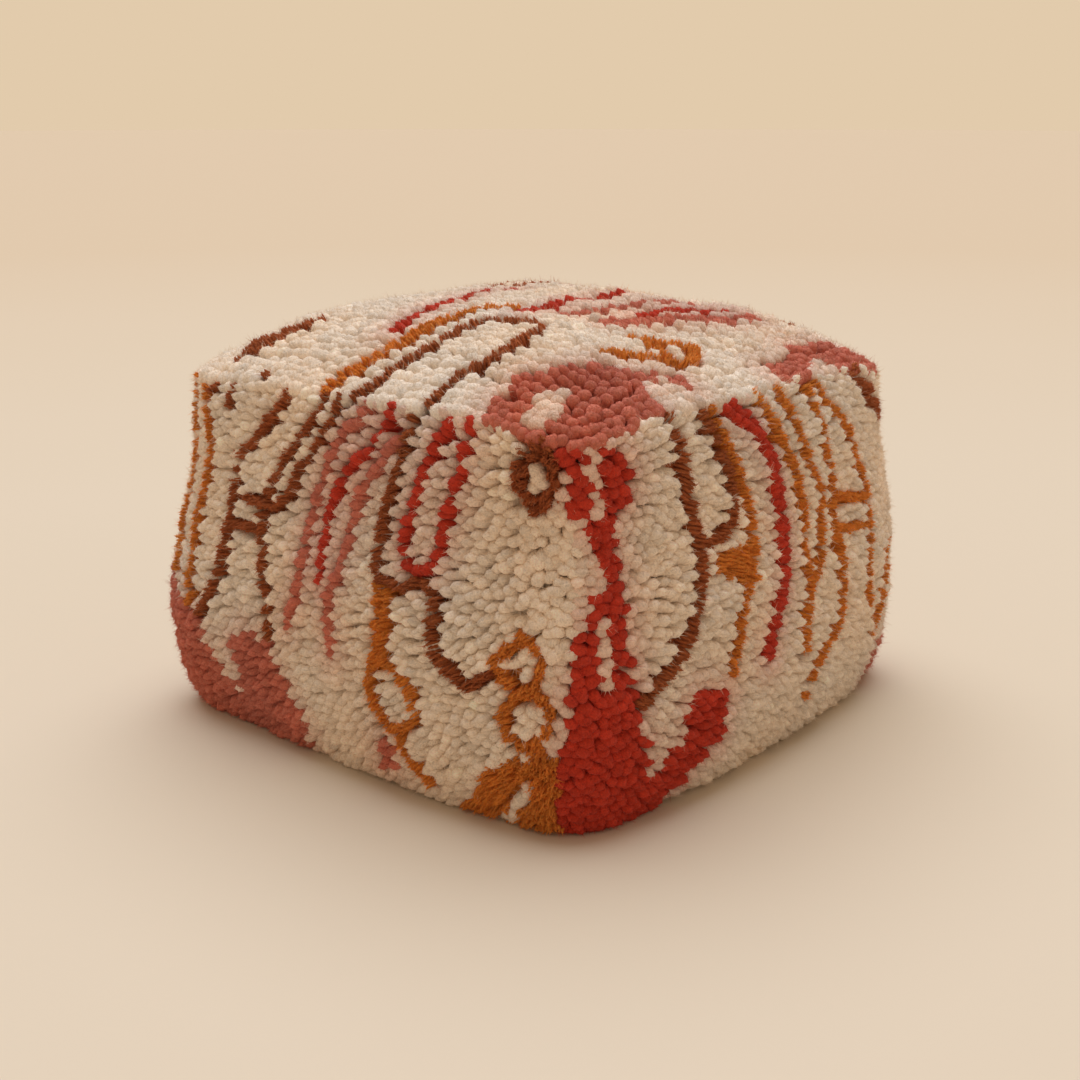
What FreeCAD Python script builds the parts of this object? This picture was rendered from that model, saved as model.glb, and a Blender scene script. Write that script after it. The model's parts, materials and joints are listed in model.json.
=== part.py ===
"""Square floor pouf: a knotted wool shag cover with a zipped canvas base, over a stuffed calico liner.

Millimetres, +Z up. The origin is the middle of the base, on the floor. The front is -Y and the right side +X.
"""
import FreeCAD, Part
import math
import os

import Sketcher

# Driving dimensions: name, value, what it measures
SIZES = [
    ("half_width", 299, "middle to the pile tips along X, at the widest girth"),
    ("half_depth", 309, "middle to the pile tips along Y, at the widest girth"),
    ("side_radius", 2000, "plan radius of the slightly bulged sides"),
    ("corner_radius", 74, "plan radius of the soft corners"),
    ("seam_height", 340, "floor to the top seam"),
    ("crown_height", 74, "rise of the top panel above its seam"),
    ("crown_power", 3, "how flat the crown stays before it falls to the seam"),
    ("base_share", 0.855, "size of the outline at the floor, over the widest"),
    ("hem_height", 1, "floor to the base seam's thread"),
    ("hem_share", 0.9, "size of the outline at the base seam, just above the floor"),
    ("tuck_height", 20, "height of the tucked lower edge"),
    ("tuck_share", 0.966, "size of the outline at that height"),
    ("girth_height", 90, "height of the widest girth, of share 1"),
    ("waist_height", 185, "height of the drawn-in middle"),
    ("waist_share", 0.966, "size of the outline at that height"),
    ("shoulder_height", 275, "height of the shoulder below the seam"),
    ("shoulder_share", 0.922, "size of the outline at that height"),
    ("seam_share", 0.908, "size of the outline at the top seam"),
    ("rug_thickness", 22, "woven ground and pile together"),
    ("thread_size", 2.5, "waxed seam thread"),
    ("thread_inset", 17, "pile tips to the seam thread, which runs in the woven ground"),
    ("cover_gap", 0.6, "air between the cover and the liner"),
    ("liner_thickness", 1.2, "calico"),
    ("filling_gap", 0.4, "air between the liner and the filling"),
    ("canvas", 2, "thickness of the base canvas, two layers"),
    ("zip_length", 400, "length of the zip's chain"),
    ("recess_depth", 9, "floor to the underside of the facings that carry the zip"),
    ("recess_half", 22, "half width of the recess around the zip"),
    ("slot_half", 7, "half width of the slot between the facings"),
    ("tape", 0.8, "thickness of the zip tape"),
    ("tape_outer", 18, "middle of the zip to the outer edge of a tape"),
    ("tape_inner", 2.25, "middle of the zip to the inner edge of a tape"),
    ("tape_tail", 10, "tape beyond each end of the chain"),
    ("tooth_pitch", 3, "spacing of the teeth on one tape"),
    ("tooth_length", 1.3, "length of a tooth along the chain"),
    ("tooth_reach", 0.9, "reach of a tooth past the middle of the zip"),
    ("tooth_grip", 4.2, "middle of the zip to the back of a tooth's jaws"),
    ("tooth_height", 2.4, "height of a tooth's jaws"),
    ("jaw_slot", 0.9, "opening between the jaws, over the tape"),
    ("slider_place", 186, "middle of the base to the slider, with the zip closed"),
    ("slider_length", 11, "length of the slider"),
    ("slider_half", 5.7, "half width of the slider"),
    ("slider_wall", 1, "thickness of the slider's plates and flanges"),
    ("slider_bore", 3, "height of the slider's channel"),
    ("flange_gap", 1.6, "opening between the flanges, for the tape"),
    ("pin_drop", 4.5, "middle of the zip down to the tab's pin"),
    ("pin_radius", 0.7, "the tab's pin"),
    ("pin_play", 0.06, "running clearance of the tab's eye on the pin"),
    ("ear_gap_half", 2, "half the space between the slider's ears"),
    ("ear_thickness", 1, "thickness of an ear"),
    ("ear_radius", 1.5, "round end of an ear and of the tab's eye"),
    ("tab_length", 26, "pin to the tab's free end"),
    ("tab_half", 4, "half width of the tab"),
    ("tab_thickness", 1.4, "thickness of the tab"),
    ("stitch_pitch", 4, "spacing of the lockstitches"),
    ("stitch_length", 3, "length of one stitch on the face"),
    ("stitch_size", 0.5, "thickness of the zip's sewing thread"),
    ("stitch_place", 11, "middle of the zip to the line of stitches"),
]

doc = FreeCAD.newDocument("pouf")
sheet = doc.addObject("Spreadsheet::Sheet", "sizes")
for row, (alias, number, meaning) in enumerate(SIZES, 1):
    sheet.set(f"A{row}", meaning)
    sheet.set(f"B{row}", str(number))
    sheet.setAlias(f"B{row}", alias)
doc.recompute()

# Outlines up the wall, from the floor to the seam: height and share of the widest girth
WALL_LEVELS = [
    ("0", "sizes.base_share"),
    ("sizes.tuck_height", "sizes.tuck_share"),
    ("sizes.girth_height", "1"),
    ("sizes.waist_height", "sizes.waist_share"),
    ("sizes.shoulder_height", "sizes.shoulder_share"),
    ("sizes.seam_height", "sizes.seam_share"),
]
# Rings of the crown, as shares of the seam's outline
CROWN_RINGS = [1, 0.9, 0.72, 0.45, 0.12]

# How far each nested layer lies inside the pile tips
THREAD_OUTSIDE = "sizes.thread_inset"
THREAD_INSIDE = "(sizes.thread_inset + sizes.thread_size)"
HEM_OUTSIDE = "(sizes.rug_thickness / 2)"
HEM_INSIDE = f"({HEM_OUTSIDE} + sizes.thread_size)"
RUG_INSIDE = "sizes.rug_thickness"
LINER_OUTSIDE = f"({RUG_INSIDE} + sizes.cover_gap)"
LINER_INSIDE = f"({LINER_OUTSIDE} + sizes.liner_thickness)"
FILLING_OUTSIDE = f"({LINER_INSIDE} + sizes.filling_gap)"

nodes = {}


def number_of(expression):
    """The value of a sheet expression, in millimetres."""
    return float(sheet.evalExpression(expression))


def bind(thing, **bound):
    """Binds properties to sheet expressions; x, y and z stand for the place."""
    for name, expression in bound.items():
        path = f"Placement.Base.{name}" if name in ("x", "y", "z") else name
        thing.setExpression(path, expression)
    return thing


def outline(name, share="1", inset="0", ring="1", height="0"):
    """A level sketch of four bulged sides and four round corners, all tangent."""
    half_x, half_y, side, corner = (
        f"(sizes.{size} * {share} - {inset}) * {ring}"
        for size in ("half_width", "half_depth", "side_radius", "corner_radius"))
    middle_x, middle_y = (f"(sizes.side_radius - sizes.{size}) * {share} * {ring}"
                          for size in ("half_width", "half_depth"))
    side_r, corner_r = number_of(side), number_of(corner)
    side_x, side_y = -number_of(middle_x), -number_of(middle_y)

    # The corner's middle is one radius inside both sides
    half_gap = math.hypot(side_x, side_y) / 2
    away = math.sqrt((side_r - corner_r) ** 2 - half_gap ** 2) / (2 * half_gap)
    corner_x, corner_y = side_x / 2 - side_y * away, side_y / 2 - side_x * away
    side_turn = math.atan2(corner_y, corner_x - side_x)
    end_turn = math.pi / 2 - math.atan2(corner_x, corner_y - side_y)

    sketch = doc.addObject("Sketcher::SketchObject", name)

    def add_arc(x, y, radius, start, end):
        circle = Part.Circle(FreeCAD.Vector(x, y, 0), FreeCAD.Vector(0, 0, 1), radius)
        sketch.addGeometry(Part.ArcOfCircle(circle, start, end))

    turn = math.pi
    end_half = turn / 2 - end_turn
    add_arc(side_x, 0, side_r, -side_turn, side_turn)
    add_arc(corner_x, corner_y, corner_r, side_turn, end_turn)
    add_arc(0, side_y, side_r, end_turn, turn - end_turn)
    add_arc(-corner_x, corner_y, corner_r, turn / 2 + end_half, turn - side_turn)
    add_arc(-side_x, 0, side_r, turn - side_turn, turn + side_turn)
    add_arc(-corner_x, -corner_y, corner_r, turn + side_turn, turn + end_turn)
    add_arc(0, -side_y, side_r, turn + end_turn, 2 * turn - end_turn)
    add_arc(corner_x, -corner_y, corner_r, 2 * turn - end_turn, 2 * turn - side_turn)

    right, top, left, bottom = 0, 2, 4, 6
    for edge in range(8):
        sketch.addConstraint(Sketcher.Constraint("Tangent", edge, 2, (edge + 1) % 8, 1))
    for edge, axis in ((right, -1), (left, -1), (top, -2), (bottom, -2)):
        sketch.addConstraint(Sketcher.Constraint("PointOnObject", edge, 3, axis))
    for edge in (top, left, bottom):
        sketch.addConstraint(Sketcher.Constraint("Equal", right, edge))
    for edge in (3, 5, 7):
        sketch.addConstraint(Sketcher.Constraint("Equal", 1, edge))

    def drive(label, expression, constraint):
        index = sketch.addConstraint(constraint)
        sketch.renameConstraint(index, label)
        sketch.setExpression(f"Constraints.{label}", expression)

    drive("side", side, Sketcher.Constraint("Radius", right, side_r))
    drive("corner", corner, Sketcher.Constraint("Radius", 1, corner_r))
    drive("right_middle", middle_x, Sketcher.Constraint("DistanceX", right, 3, -1, 1, -side_x))
    drive("left_middle", middle_x, Sketcher.Constraint("DistanceX", -1, 1, left, 3, -side_x))
    drive("top_middle", middle_y, Sketcher.Constraint("DistanceY", top, 3, -1, 1, -side_y))
    drive("bottom_middle", middle_y, Sketcher.Constraint("DistanceY", -1, 1, bottom, 3, -side_y))
    return bind(sketch, z=height)


def loft(name, sections):
    """A smooth solid through level outlines."""
    solid = doc.addObject("Part::Loft", name)
    solid.Sections = sections
    solid.Solid = True
    solid.Ruled = False
    return solid


def wall_form(name, inset):
    """The solid below the seam, inset from the pile tips."""
    return loft(name, [outline(f"{name}_level_{level}", share, inset, height=height)
                       for level, (height, share) in enumerate(WALL_LEVELS)])


def crown_form(name, inset):
    """The solid above the seam, inset from the pile tips."""
    rise = f"(sizes.crown_height - {inset})"
    return loft(name, [
        outline(f"{name}_ring_{place}", "sizes.seam_share", inset, str(ring),
                f"sizes.seam_height + {rise} * (1 - {ring} ^ sizes.crown_power)")
        for place, ring in enumerate(CROWN_RINGS)])


def plate(name, inset, share, height, thickness):
    """A level plate of the outline's shape."""
    slab = doc.addObject("Part::Extrusion", name)
    slab.Base = outline(f"{name}_outline", share, inset, height=height)
    slab.DirMode = "Custom"
    slab.Dir = FreeCAD.Vector(0, 0, 1)
    slab.Solid = True
    return bind(slab, LengthFwd=thickness)


def box(name, x, y, z, length, width, height):
    """A box from its lowest corner."""
    return bind(doc.addObject("Part::Box", name), x=x, y=y, z=z, Length=length, Width=width, Height=height)


def cylinder(name, x, y, z, radius, width):
    """A cylinder lying along Y from its lowest Y."""
    rod = doc.addObject("Part::Cylinder", name)
    rod.Placement.Rotation = FreeCAD.Rotation(FreeCAD.Vector(1, 0, 0), -90)
    return bind(rod, x=x, y=y, z=z, Radius=radius, Height=width)


def boolean(kind, name, base, tool):
    solid = doc.addObject(f"Part::{kind}", name)
    solid.Base = base
    solid.Tool = tool
    return solid


def fuse(name, *shapes):
    joined = doc.addObject("Part::MultiFuse", name)
    joined.Shapes = list(shapes)
    return joined


def node(label, thing):
    """Marks a finished sub-part, which its label names."""
    thing.Label = label
    nodes[label] = thing
    return thing


def origin_part(body, role):
    return next(part for part in body.Origin.OriginFeatures if part.Role == role)


def polygon_pad(body, name, plane, points, length):
    """A pad of a closed polygon whose corners are pairs of sheet expressions."""
    sketch = body.newObject("Sketcher::SketchObject", f"{name}_sketch")
    sketch.AttachmentSupport = [(origin_part(body, plane), "")]
    sketch.MapMode = "FlatFace"
    corners = [FreeCAD.Vector(number_of(x), number_of(y), 0) for x, y in points]
    count = len(points)
    for place, corner in enumerate(corners):
        sketch.addGeometry(Part.LineSegment(corner, corners[(place + 1) % count]))
    for place in range(count):
        sketch.addConstraint(Sketcher.Constraint("Coincident", place, 2, (place + 1) % count, 1))
    for place, (pair, corner) in enumerate(zip(points, corners)):
        for kind, expression, value in (("DistanceX", pair[0], corner.x), ("DistanceY", pair[1], corner.y)):
            index = sketch.addConstraint(Sketcher.Constraint(kind, place, 1, value))
            sketch.renameConstraint(index, f"corner_{place}_{kind}")
            sketch.setExpression(f"Constraints.corner_{place}_{kind}", expression)
    pad = body.newObject("PartDesign::Pad", name)
    pad.Profile = sketch
    pad.Midplane = True
    pad.setExpression("Length", length)
    return pad


def row_along_zip(label, points, thickness, pitch, first, last, side, height):
    """Separate equal solids in a row along X, each a pad of one section."""
    body = doc.addObject("PartDesign::Body", label)
    body.AllowCompound = True
    pad = polygon_pad(body, f"{label}_one", "YZ_Plane", points, thickness)
    doc.recompute()
    pattern = body.newObject("PartDesign::LinearPattern", f"{label}_row")
    pattern.Originals = [pad]
    pattern.Direction = (origin_part(body, "X_Axis"), [""])
    count = f"floor(({last} - {first}) / {pitch})"
    pattern.setExpression("Occurrences", f"{count} + 1")
    pattern.setExpression("Length", f"{count} * {pitch}")
    body.Tip = pattern
    if side > 0:
        body.Placement.Rotation = FreeCAD.Rotation(FreeCAD.Vector(1, 0, 0), 180)
    return node(label, bind(body, x=first, z=height))


# Cover: the wall between the pile tips and the back of the rug, cut into four panels at the corners
rug_wall = boolean("Cut", "rug_wall", wall_form("pile_wall", "0"), wall_form("ground_wall", RUG_INSIDE))
rug_crown = boolean("Cut", "rug_crown", crown_form("pile_crown", "0"), crown_form("ground_crown", RUG_INSIDE))

# Seam threads run in the woven ground, half in each of the two panels that they join
half_thread = "sizes.thread_size / 2"
top_thread = boolean(
    "Cut", "top_thread",
    plate("top_thread_outside", THREAD_OUTSIDE, "sizes.seam_share", f"sizes.seam_height - {half_thread}",
          "sizes.thread_size"),
    plate("top_thread_inside", THREAD_INSIDE, "sizes.seam_share", f"sizes.seam_height - {half_thread}",
          "sizes.thread_size"))
base_thread = boolean(
    "Cut", "base_thread",
    plate("base_thread_outside", HEM_OUTSIDE, "sizes.hem_share", "sizes.hem_height", "sizes.thread_size"),
    plate("base_thread_inside", HEM_INSIDE, "sizes.hem_share", "sizes.hem_height", "sizes.thread_size"))
node("top_seam_thread", top_thread)
node("base_seam_thread", base_thread)

thread_wall = boolean("Cut", "thread_wall", wall_form("thread_wall_outside", THREAD_OUTSIDE),
                      wall_form("thread_wall_inside", THREAD_INSIDE))
CORNERS = {"front_left": (-1, -1), "front_right": (1, -1), "rear_left": (-1, 1), "rear_right": (1, 1)}
corner_threads = {}
for corner, (to_x, to_y) in CORNERS.items():
    slab = box(f"{corner}_slab", "0", "0", "sizes.canvas + 2 * sizes.thread_size", "2 * sizes.half_width",
               "sizes.thread_size", "sizes.seam_height - 4 * sizes.thread_size")
    bearing = math.degrees(math.atan2(to_y * number_of("sizes.half_depth"), to_x * number_of("sizes.half_width")))
    slab.Placement.Rotation = FreeCAD.Rotation(FreeCAD.Vector(0, 0, 1), bearing)
    slab.setExpression("Placement.Base.x", f"{half_thread} * {math.sin(math.radians(bearing))}")
    slab.setExpression("Placement.Base.y", f"{half_thread} * {-math.cos(math.radians(bearing))}")
    corner_threads[corner] = node(f"{corner}_seam_thread",
                                  boolean("Common", f"{corner}_thread", thread_wall, slab))

all_threads = fuse("all_threads", top_thread, base_thread, *corner_threads.values())
node("top_panel", boolean("Cut", "top_panel", rug_crown, all_threads))

SIDES = {"front": (0, "half_width", "half_depth"), "right": (90, "half_depth", "half_width"),
         "back": (180, "half_width", "half_depth"), "left": (270, "half_depth", "half_width")}
for side, (bearing, across, out) in SIDES.items():
    wedge = doc.addObject("Part::Wedge", f"{side}_wedge")
    wedge.Placement.Rotation = FreeCAD.Rotation(FreeCAD.Vector(0, 0, 1), bearing)
    bind(wedge, Xmin=f"-2 * sizes.{across}", Xmax=f"2 * sizes.{across}", Ymin=f"-2 * sizes.{out}", Ymax="0",
         X2min="0", X2max="0", Zmin="0", Z2min="0", Zmax="sizes.seam_height", Z2max="sizes.seam_height")
    quarter = boolean("Common", f"{side}_quarter", rug_wall, wedge)
    node(f"{side}_panel", boolean("Cut", f"{side}_panel", quarter, all_threads))

# Base: two canvas panels whose inner edges turn up, and between them two level facings that carry the zip
lip_top = "(sizes.recess_depth + sizes.canvas)"
zip_height = f"({lip_top} + sizes.tape / 2)"
turned_half = "(sizes.recess_half + sizes.canvas)"
base_plate = plate("base_plate", RUG_INSIDE, "sizes.base_share", "0", "sizes.canvas")
edge_block = plate("edge_block", RUG_INSIDE, "sizes.base_share", "0", lip_top)
facing_plate = plate("facing_plate", RUG_INSIDE, "sizes.base_share", "sizes.recess_depth", "sizes.canvas")
for side, toward in (("front", -1), ("rear", 1)):
    def beside_zip(name, near, width, bottom, height, end="sizes.half_width"):
        """A box on this side of the zip's middle, alike at both ends."""
        y = f"-{near} - {width}" if toward < 0 else near
        return box(f"{side}_{name}", f"-{end}", y, bottom, f"2 * {end}", width, height)

    flat = boolean("Common", f"{side}_flat", base_plate,
                   beside_zip("outer", "sizes.recess_half", "sizes.half_depth", "0", "sizes.canvas"))
    turned = boolean("Common", f"{side}_turned", edge_block,
                     beside_zip("edge", "sizes.recess_half", "sizes.canvas", "0", lip_top))
    node(f"base_panel_{side}", fuse(f"base_{side}", flat, turned))

    strip = boolean("Common", f"{side}_strip", facing_plate,
                    beside_zip("facing", "0", "sizes.recess_half", "sizes.recess_depth", "sizes.canvas"))
    slot = beside_zip("slot", "0", "sizes.slot_half", "0", f"{lip_top} + 1", "(sizes.zip_length / 2 + 2)")
    node(f"zip_facing_{side}", boolean("Cut", f"facing_{side}", strip, slot))

# Zip: tapes on the facings, teeth that clasp the tapes, and the stitching below the facings
tape_end = "(sizes.zip_length / 2 + sizes.tape_tail)"
tape_width = "(sizes.tape_outer - sizes.tape_inner)"
for side, toward in (("front", -1), ("rear", 1)):
    y = "-sizes.tape_outer" if toward < 0 else "sizes.tape_inner"
    node(f"zip_tape_{side}", box(f"tape_{side}", f"-{tape_end}", y, lip_top, f"2 * {tape_end}", tape_width,
                                 "sizes.tape"))

jaw = "sizes.tooth_height / 2"
gap = "sizes.jaw_slot / 2"
TOOTH = [
    ("sizes.tooth_reach", "-sizes.tooth_height / 4"), ("sizes.tooth_reach", "sizes.tooth_height / 4"),
    ("-sizes.tooth_reach / 2", jaw), ("-sizes.tooth_grip", jaw), ("-sizes.tooth_grip", gap),
    ("-sizes.tape_inner + 0.05", gap), ("-sizes.tape_inner + 0.05", f"-{gap}"), ("-sizes.tooth_grip", f"-{gap}"),
    ("-sizes.tooth_grip", f"-{jaw}"), ("-sizes.tooth_reach / 2", f"-{jaw}")]
chain_start = "(-sizes.zip_length / 2 + 2 * sizes.tooth_pitch)"
chain_end = "sizes.slider_place"
row_along_zip("zip_teeth_front", TOOTH, "sizes.tooth_length", "sizes.tooth_pitch", chain_start, chain_end,
              -1, zip_height)
row_along_zip("zip_teeth_rear", TOOTH, "sizes.tooth_length", "sizes.tooth_pitch",
              f"({chain_start} + sizes.tooth_pitch / 2)", chain_end, 1, zip_height)

stitch_out, stitch_in = "-sizes.stitch_place - sizes.stitch_size", "-sizes.stitch_place"
STITCH_BELOW = [(stitch_out, "-sizes.stitch_size"), (stitch_in, "-sizes.stitch_size"), (stitch_in, "0"),
                (stitch_out, "0")]
STITCH_ABOVE = [(y, z.replace("-", "")) for y, z in STITCH_BELOW]
stitch_end = f"({tape_end} - sizes.stitch_length)"
stitch_start = f"(-{stitch_end})"
for side, toward, section in (("front", -1, STITCH_BELOW), ("rear", 1, STITCH_ABOVE)):
    row_along_zip(f"zip_stitching_{side}", section, "sizes.stitch_length", "sizes.stitch_pitch", stitch_start,
                  stitch_end, toward, "sizes.recess_depth")

# Slider: two plates, flanges that hold the teeth in, a post that parts them, and ears for the tab
inside_half = "(sizes.slider_half - sizes.slider_wall)"
slider_start = "(sizes.slider_place - sizes.slider_length / 2)"
slider_low = f"({zip_height} - sizes.slider_bore / 2 - sizes.slider_wall)"
slider_high = f"({zip_height} + sizes.slider_bore / 2)"
flange_height = "(sizes.slider_bore - sizes.flange_gap) / 2"
pin_height = f"({zip_height} - sizes.pin_drop)"
slider_pieces = [
    box("slider_upper", slider_start, "-sizes.slider_half", slider_high, "sizes.slider_length",
        "2 * sizes.slider_half", "sizes.slider_wall"),
    box("slider_lower", slider_start, "-sizes.slider_half", slider_low, "sizes.slider_length",
        "2 * sizes.slider_half", "sizes.slider_wall"),
    box("slider_post", "sizes.slider_place + sizes.slider_length / 4", "-sizes.tooth_reach",
        f"{slider_low} + sizes.slider_wall", "sizes.slider_length / 4", "2 * sizes.tooth_reach",
        "sizes.slider_bore")]
for place, y in (("front", "-sizes.slider_half"), ("rear", inside_half)):
    slider_pieces += [
        box(f"flange_{place}_lower", slider_start, y, f"{slider_low} + sizes.slider_wall", "sizes.slider_length",
            "sizes.slider_wall", flange_height),
        box(f"flange_{place}_upper", slider_start, y, f"{slider_high} - {flange_height}", "sizes.slider_length",
            "sizes.slider_wall", flange_height)]
ear_drop = f"({slider_low} - {pin_height})"
for place, y in (("front", "-sizes.ear_gap_half - sizes.ear_thickness"), ("rear", "sizes.ear_gap_half")):
    slider_pieces += [
        box(f"ear_{place}", "sizes.slider_place - sizes.ear_radius", y, pin_height, "2 * sizes.ear_radius",
            "sizes.ear_thickness", ear_drop),
        cylinder(f"ear_round_{place}", "sizes.slider_place", y, pin_height, "sizes.ear_radius",
                 "sizes.ear_thickness")]
ear_half = "(sizes.ear_gap_half + sizes.ear_thickness)"
pin = cylinder("pin", "sizes.slider_place", f"-{ear_half}", pin_height, "sizes.pin_radius", f"2 * {ear_half}")
node("zip_slider", boolean("Cut", "slider", fuse("slider_whole", *slider_pieces), pin))
node("zip_pull_pin", pin)

# Tab: a flat leaf with a narrow eye on the pin
eye_half = "(sizes.ear_gap_half - 0.15)"
leaf_start = "(sizes.slider_length / 2 + 0.5)"
tab_low = f"({pin_height} - sizes.tab_thickness / 2)"
leaf = box("tab_leaf", "sizes.slider_place - sizes.tab_length", "-sizes.tab_half", tab_low,
           f"sizes.tab_length - {leaf_start}", "2 * sizes.tab_half", "sizes.tab_thickness")
rounded = doc.addObject("Part::Fillet", "tab_rounded")
rounded.Base = leaf
doc.recompute()
upright = [place for place, edge in enumerate(leaf.Shape.Edges, 1)
           if abs(edge.Vertexes[0].Z - edge.Vertexes[-1].Z) > number_of("sizes.tab_thickness") / 2]
corner_round = number_of("sizes.tab_half") / 2
rounded.Edges = [(place, corner_round, corner_round) for place in upright]
neck = box("tab_neck", f"sizes.slider_place - {leaf_start} - 1", f"-{eye_half}", tab_low, f"{leaf_start} + 1",
           f"2 * {eye_half}", "sizes.tab_thickness")
eye = cylinder("tab_eye", "sizes.slider_place", f"-{eye_half}", pin_height, "sizes.ear_radius", f"2 * {eye_half}")
eye_bore = cylinder("tab_bore", "sizes.slider_place", "-sizes.tab_half", pin_height,
                    "sizes.pin_radius + sizes.pin_play", "2 * sizes.tab_half")
node("zip_pull_tab", boolean("Cut", "tab", fuse("tab_whole", rounded, neck, eye), eye_bore))

# Stops: one block across both tapes at the closed end of the chain, and a clip on each tape past the slider
stop_low = f"({lip_top} + sizes.tape)"
node("zip_bottom_stop", box("bottom_stop", "-sizes.zip_length / 2", "-sizes.tooth_grip", stop_low, "4",
                            "2 * sizes.tooth_grip", "sizes.tape"))
stop_start = "sizes.slider_place + sizes.slider_length / 2 + 1"
node("zip_top_stops", fuse(
    "top_stops", *[box(f"top_stop_{place}", stop_start, y, stop_low, "3", "sizes.tooth_reach * 2", "sizes.tape")
                   for place, y in (("front", "-sizes.tooth_grip"), ("rear", "sizes.tooth_grip - sizes.tooth_reach * 2"))]))

# Liner: a calico bag inside the cover, folded up over the zip
liner_floor = "(sizes.canvas + sizes.filling_gap)"
above_base = box("above_base", "-sizes.half_width", "-sizes.half_depth", liner_floor, "2 * sizes.half_width",
                 "2 * sizes.half_depth", "2 * sizes.seam_height")
liner_wall_whole = boolean("Cut", "liner_wall_whole", wall_form("liner_wall_outside", LINER_OUTSIDE),
                           wall_form("liner_wall_inside", LINER_INSIDE))
node("liner_wall", boolean("Common", "liner_wall", liner_wall_whole, above_base))
node("liner_top", boolean("Cut", "liner_top", crown_form("liner_crown_outside", LINER_OUTSIDE),
                          crown_form("liner_crown_inside", LINER_INSIDE)))


def over_zip(name, spread, height):
    """A box over the turned-up edges, across the whole base and grown sideways, up to a height."""
    half = f"({turned_half} + {spread})"
    return box(name, "-sizes.half_width", f"-{half}", "0", "2 * sizes.half_width", f"2 * {half}", height)


fold_space = f"({slider_high} + 2 * sizes.slider_wall)"
fold_top = f"({fold_space} + sizes.liner_thickness)"
liner_plate = plate("liner_plate", FILLING_OUTSIDE, "sizes.base_share", liner_floor, "sizes.liner_thickness")
liner_block = plate("liner_block", FILLING_OUTSIDE, "sizes.base_share", liner_floor, f"{fold_top} - {liner_floor}")
fold = boolean("Common", "liner_fold", liner_block, over_zip("fold_outside", "1 + sizes.liner_thickness", fold_top))
node("liner_base", boolean("Cut", "liner_base", fuse("liner_base_whole", liner_plate, fold),
                           over_zip("fold_inside", "1", fold_space)))

# Filling: one stuffed form that the liner holds, grooved over the zip
filling_floor = f"({liner_floor} + sizes.liner_thickness + sizes.filling_gap)"
filling_whole = fuse("filling_whole", wall_form("filling_wall", FILLING_OUTSIDE),
                     crown_form("filling_crown", FILLING_OUTSIDE))
filling_below = fuse(
    "filling_below",
    box("filling_under", "-sizes.half_width", "-sizes.half_depth", "-1", "2 * sizes.half_width",
        "2 * sizes.half_depth", f"{filling_floor} + 1"),
    over_zip("filling_groove", "1 + sizes.liner_thickness + sizes.filling_gap", f"{fold_top} + sizes.filling_gap"))
node("filling", boolean("Cut", "filling", filling_whole, filling_below))

doc.recompute()
failed = [thing.Name for thing in doc.Objects if {"Invalid", "Error"} & set(thing.State)]
bad = [label for label, thing in nodes.items() if thing.Shape.isNull() or not thing.Shape.isValid()]
if failed or bad:
    raise RuntimeError(f"failed objects {failed}, bad shapes {bad}")

os.makedirs("parts", exist_ok=True)
for label, thing in nodes.items():
    thing.Shape.exportStep(f"parts/{label}.step")
    size = thing.Shape.BoundBox
    print(f"{label}: {len(thing.Shape.Solids)} solids, {thing.Shape.Volume / 1000:.1f} cm3, "
          f"z {size.ZMin:.2f} to {size.ZMax:.2f}")
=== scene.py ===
"""Looks of the shag pouf: cut wool pile on a stuffed rug cover, over a zipped canvas base. Metres, +Z up."""
import json
import math

import bpy
import numpy as np
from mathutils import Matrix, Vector, kdtree, noise


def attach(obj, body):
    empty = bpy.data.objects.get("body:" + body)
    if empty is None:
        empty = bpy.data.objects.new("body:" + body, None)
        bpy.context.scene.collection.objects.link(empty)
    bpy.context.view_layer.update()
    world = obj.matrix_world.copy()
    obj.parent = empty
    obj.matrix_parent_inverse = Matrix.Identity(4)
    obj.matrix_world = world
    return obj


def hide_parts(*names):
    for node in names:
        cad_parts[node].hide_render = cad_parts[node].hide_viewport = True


noise.seed_set(5)    # without a seed the noise starts from the clock, and each run would differ
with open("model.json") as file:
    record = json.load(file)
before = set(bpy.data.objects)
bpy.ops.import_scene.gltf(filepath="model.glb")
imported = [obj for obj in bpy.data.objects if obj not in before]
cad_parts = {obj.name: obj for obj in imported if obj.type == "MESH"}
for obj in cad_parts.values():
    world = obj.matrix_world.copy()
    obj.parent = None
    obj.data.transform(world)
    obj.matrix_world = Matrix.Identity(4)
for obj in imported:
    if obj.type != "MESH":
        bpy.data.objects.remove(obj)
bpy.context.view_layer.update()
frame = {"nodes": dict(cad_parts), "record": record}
MM = 0.001

# The cover's form: the outline of the pile tips, how it narrows up the wall, and the crown
HALF_WIDTH, HALF_DEPTH = 299 * MM, 309 * MM
SIDE_RADIUS, CORNER_RADIUS = 2000 * MM, 74 * MM
HEM, SEAM, CROWN = 5 * MM, 340 * MM, 74 * MM
SEAM_SHARE, BASE_SHARE = 0.908, 0.855
WALL = [(0, 0.855), (3, 0.907), (8, 0.934), (20, 0.966), (40, 0.989), (90, 1.0), (185, 0.966), (275, 0.922),
        (340, 0.908)]

# The pile: yarn length above the woven ground, and the spacing of the knots in millimetres
PILE = 20 * MM
KNOT_ACROSS, KNOT_ROWS, TOP_KNOTS = 11.4, 8.0, 10.0
# The nap: how far the strands' ends lie aside of their knots, and which way on each panel,
# to its right on a side and in plan on the top. Fine yarn lies over less.
NAP = 16 * MM
NAP_SIDE = {"front": -1, "right": 1, "back": 1, "left": -1}
NAP_TOP = (-0.9, -0.43)
FINE_YARNS, FINE_YARN_NAP = ("ochre", "brown"), 0.3
# Yarn packed at the roots fills the pile this high, and its colour is darkened by this share as painted shade
# down between the tufts
ROOTS_FILL, ROOTS_PAINTED_SHADE = 8 * MM, 0.7
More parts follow.
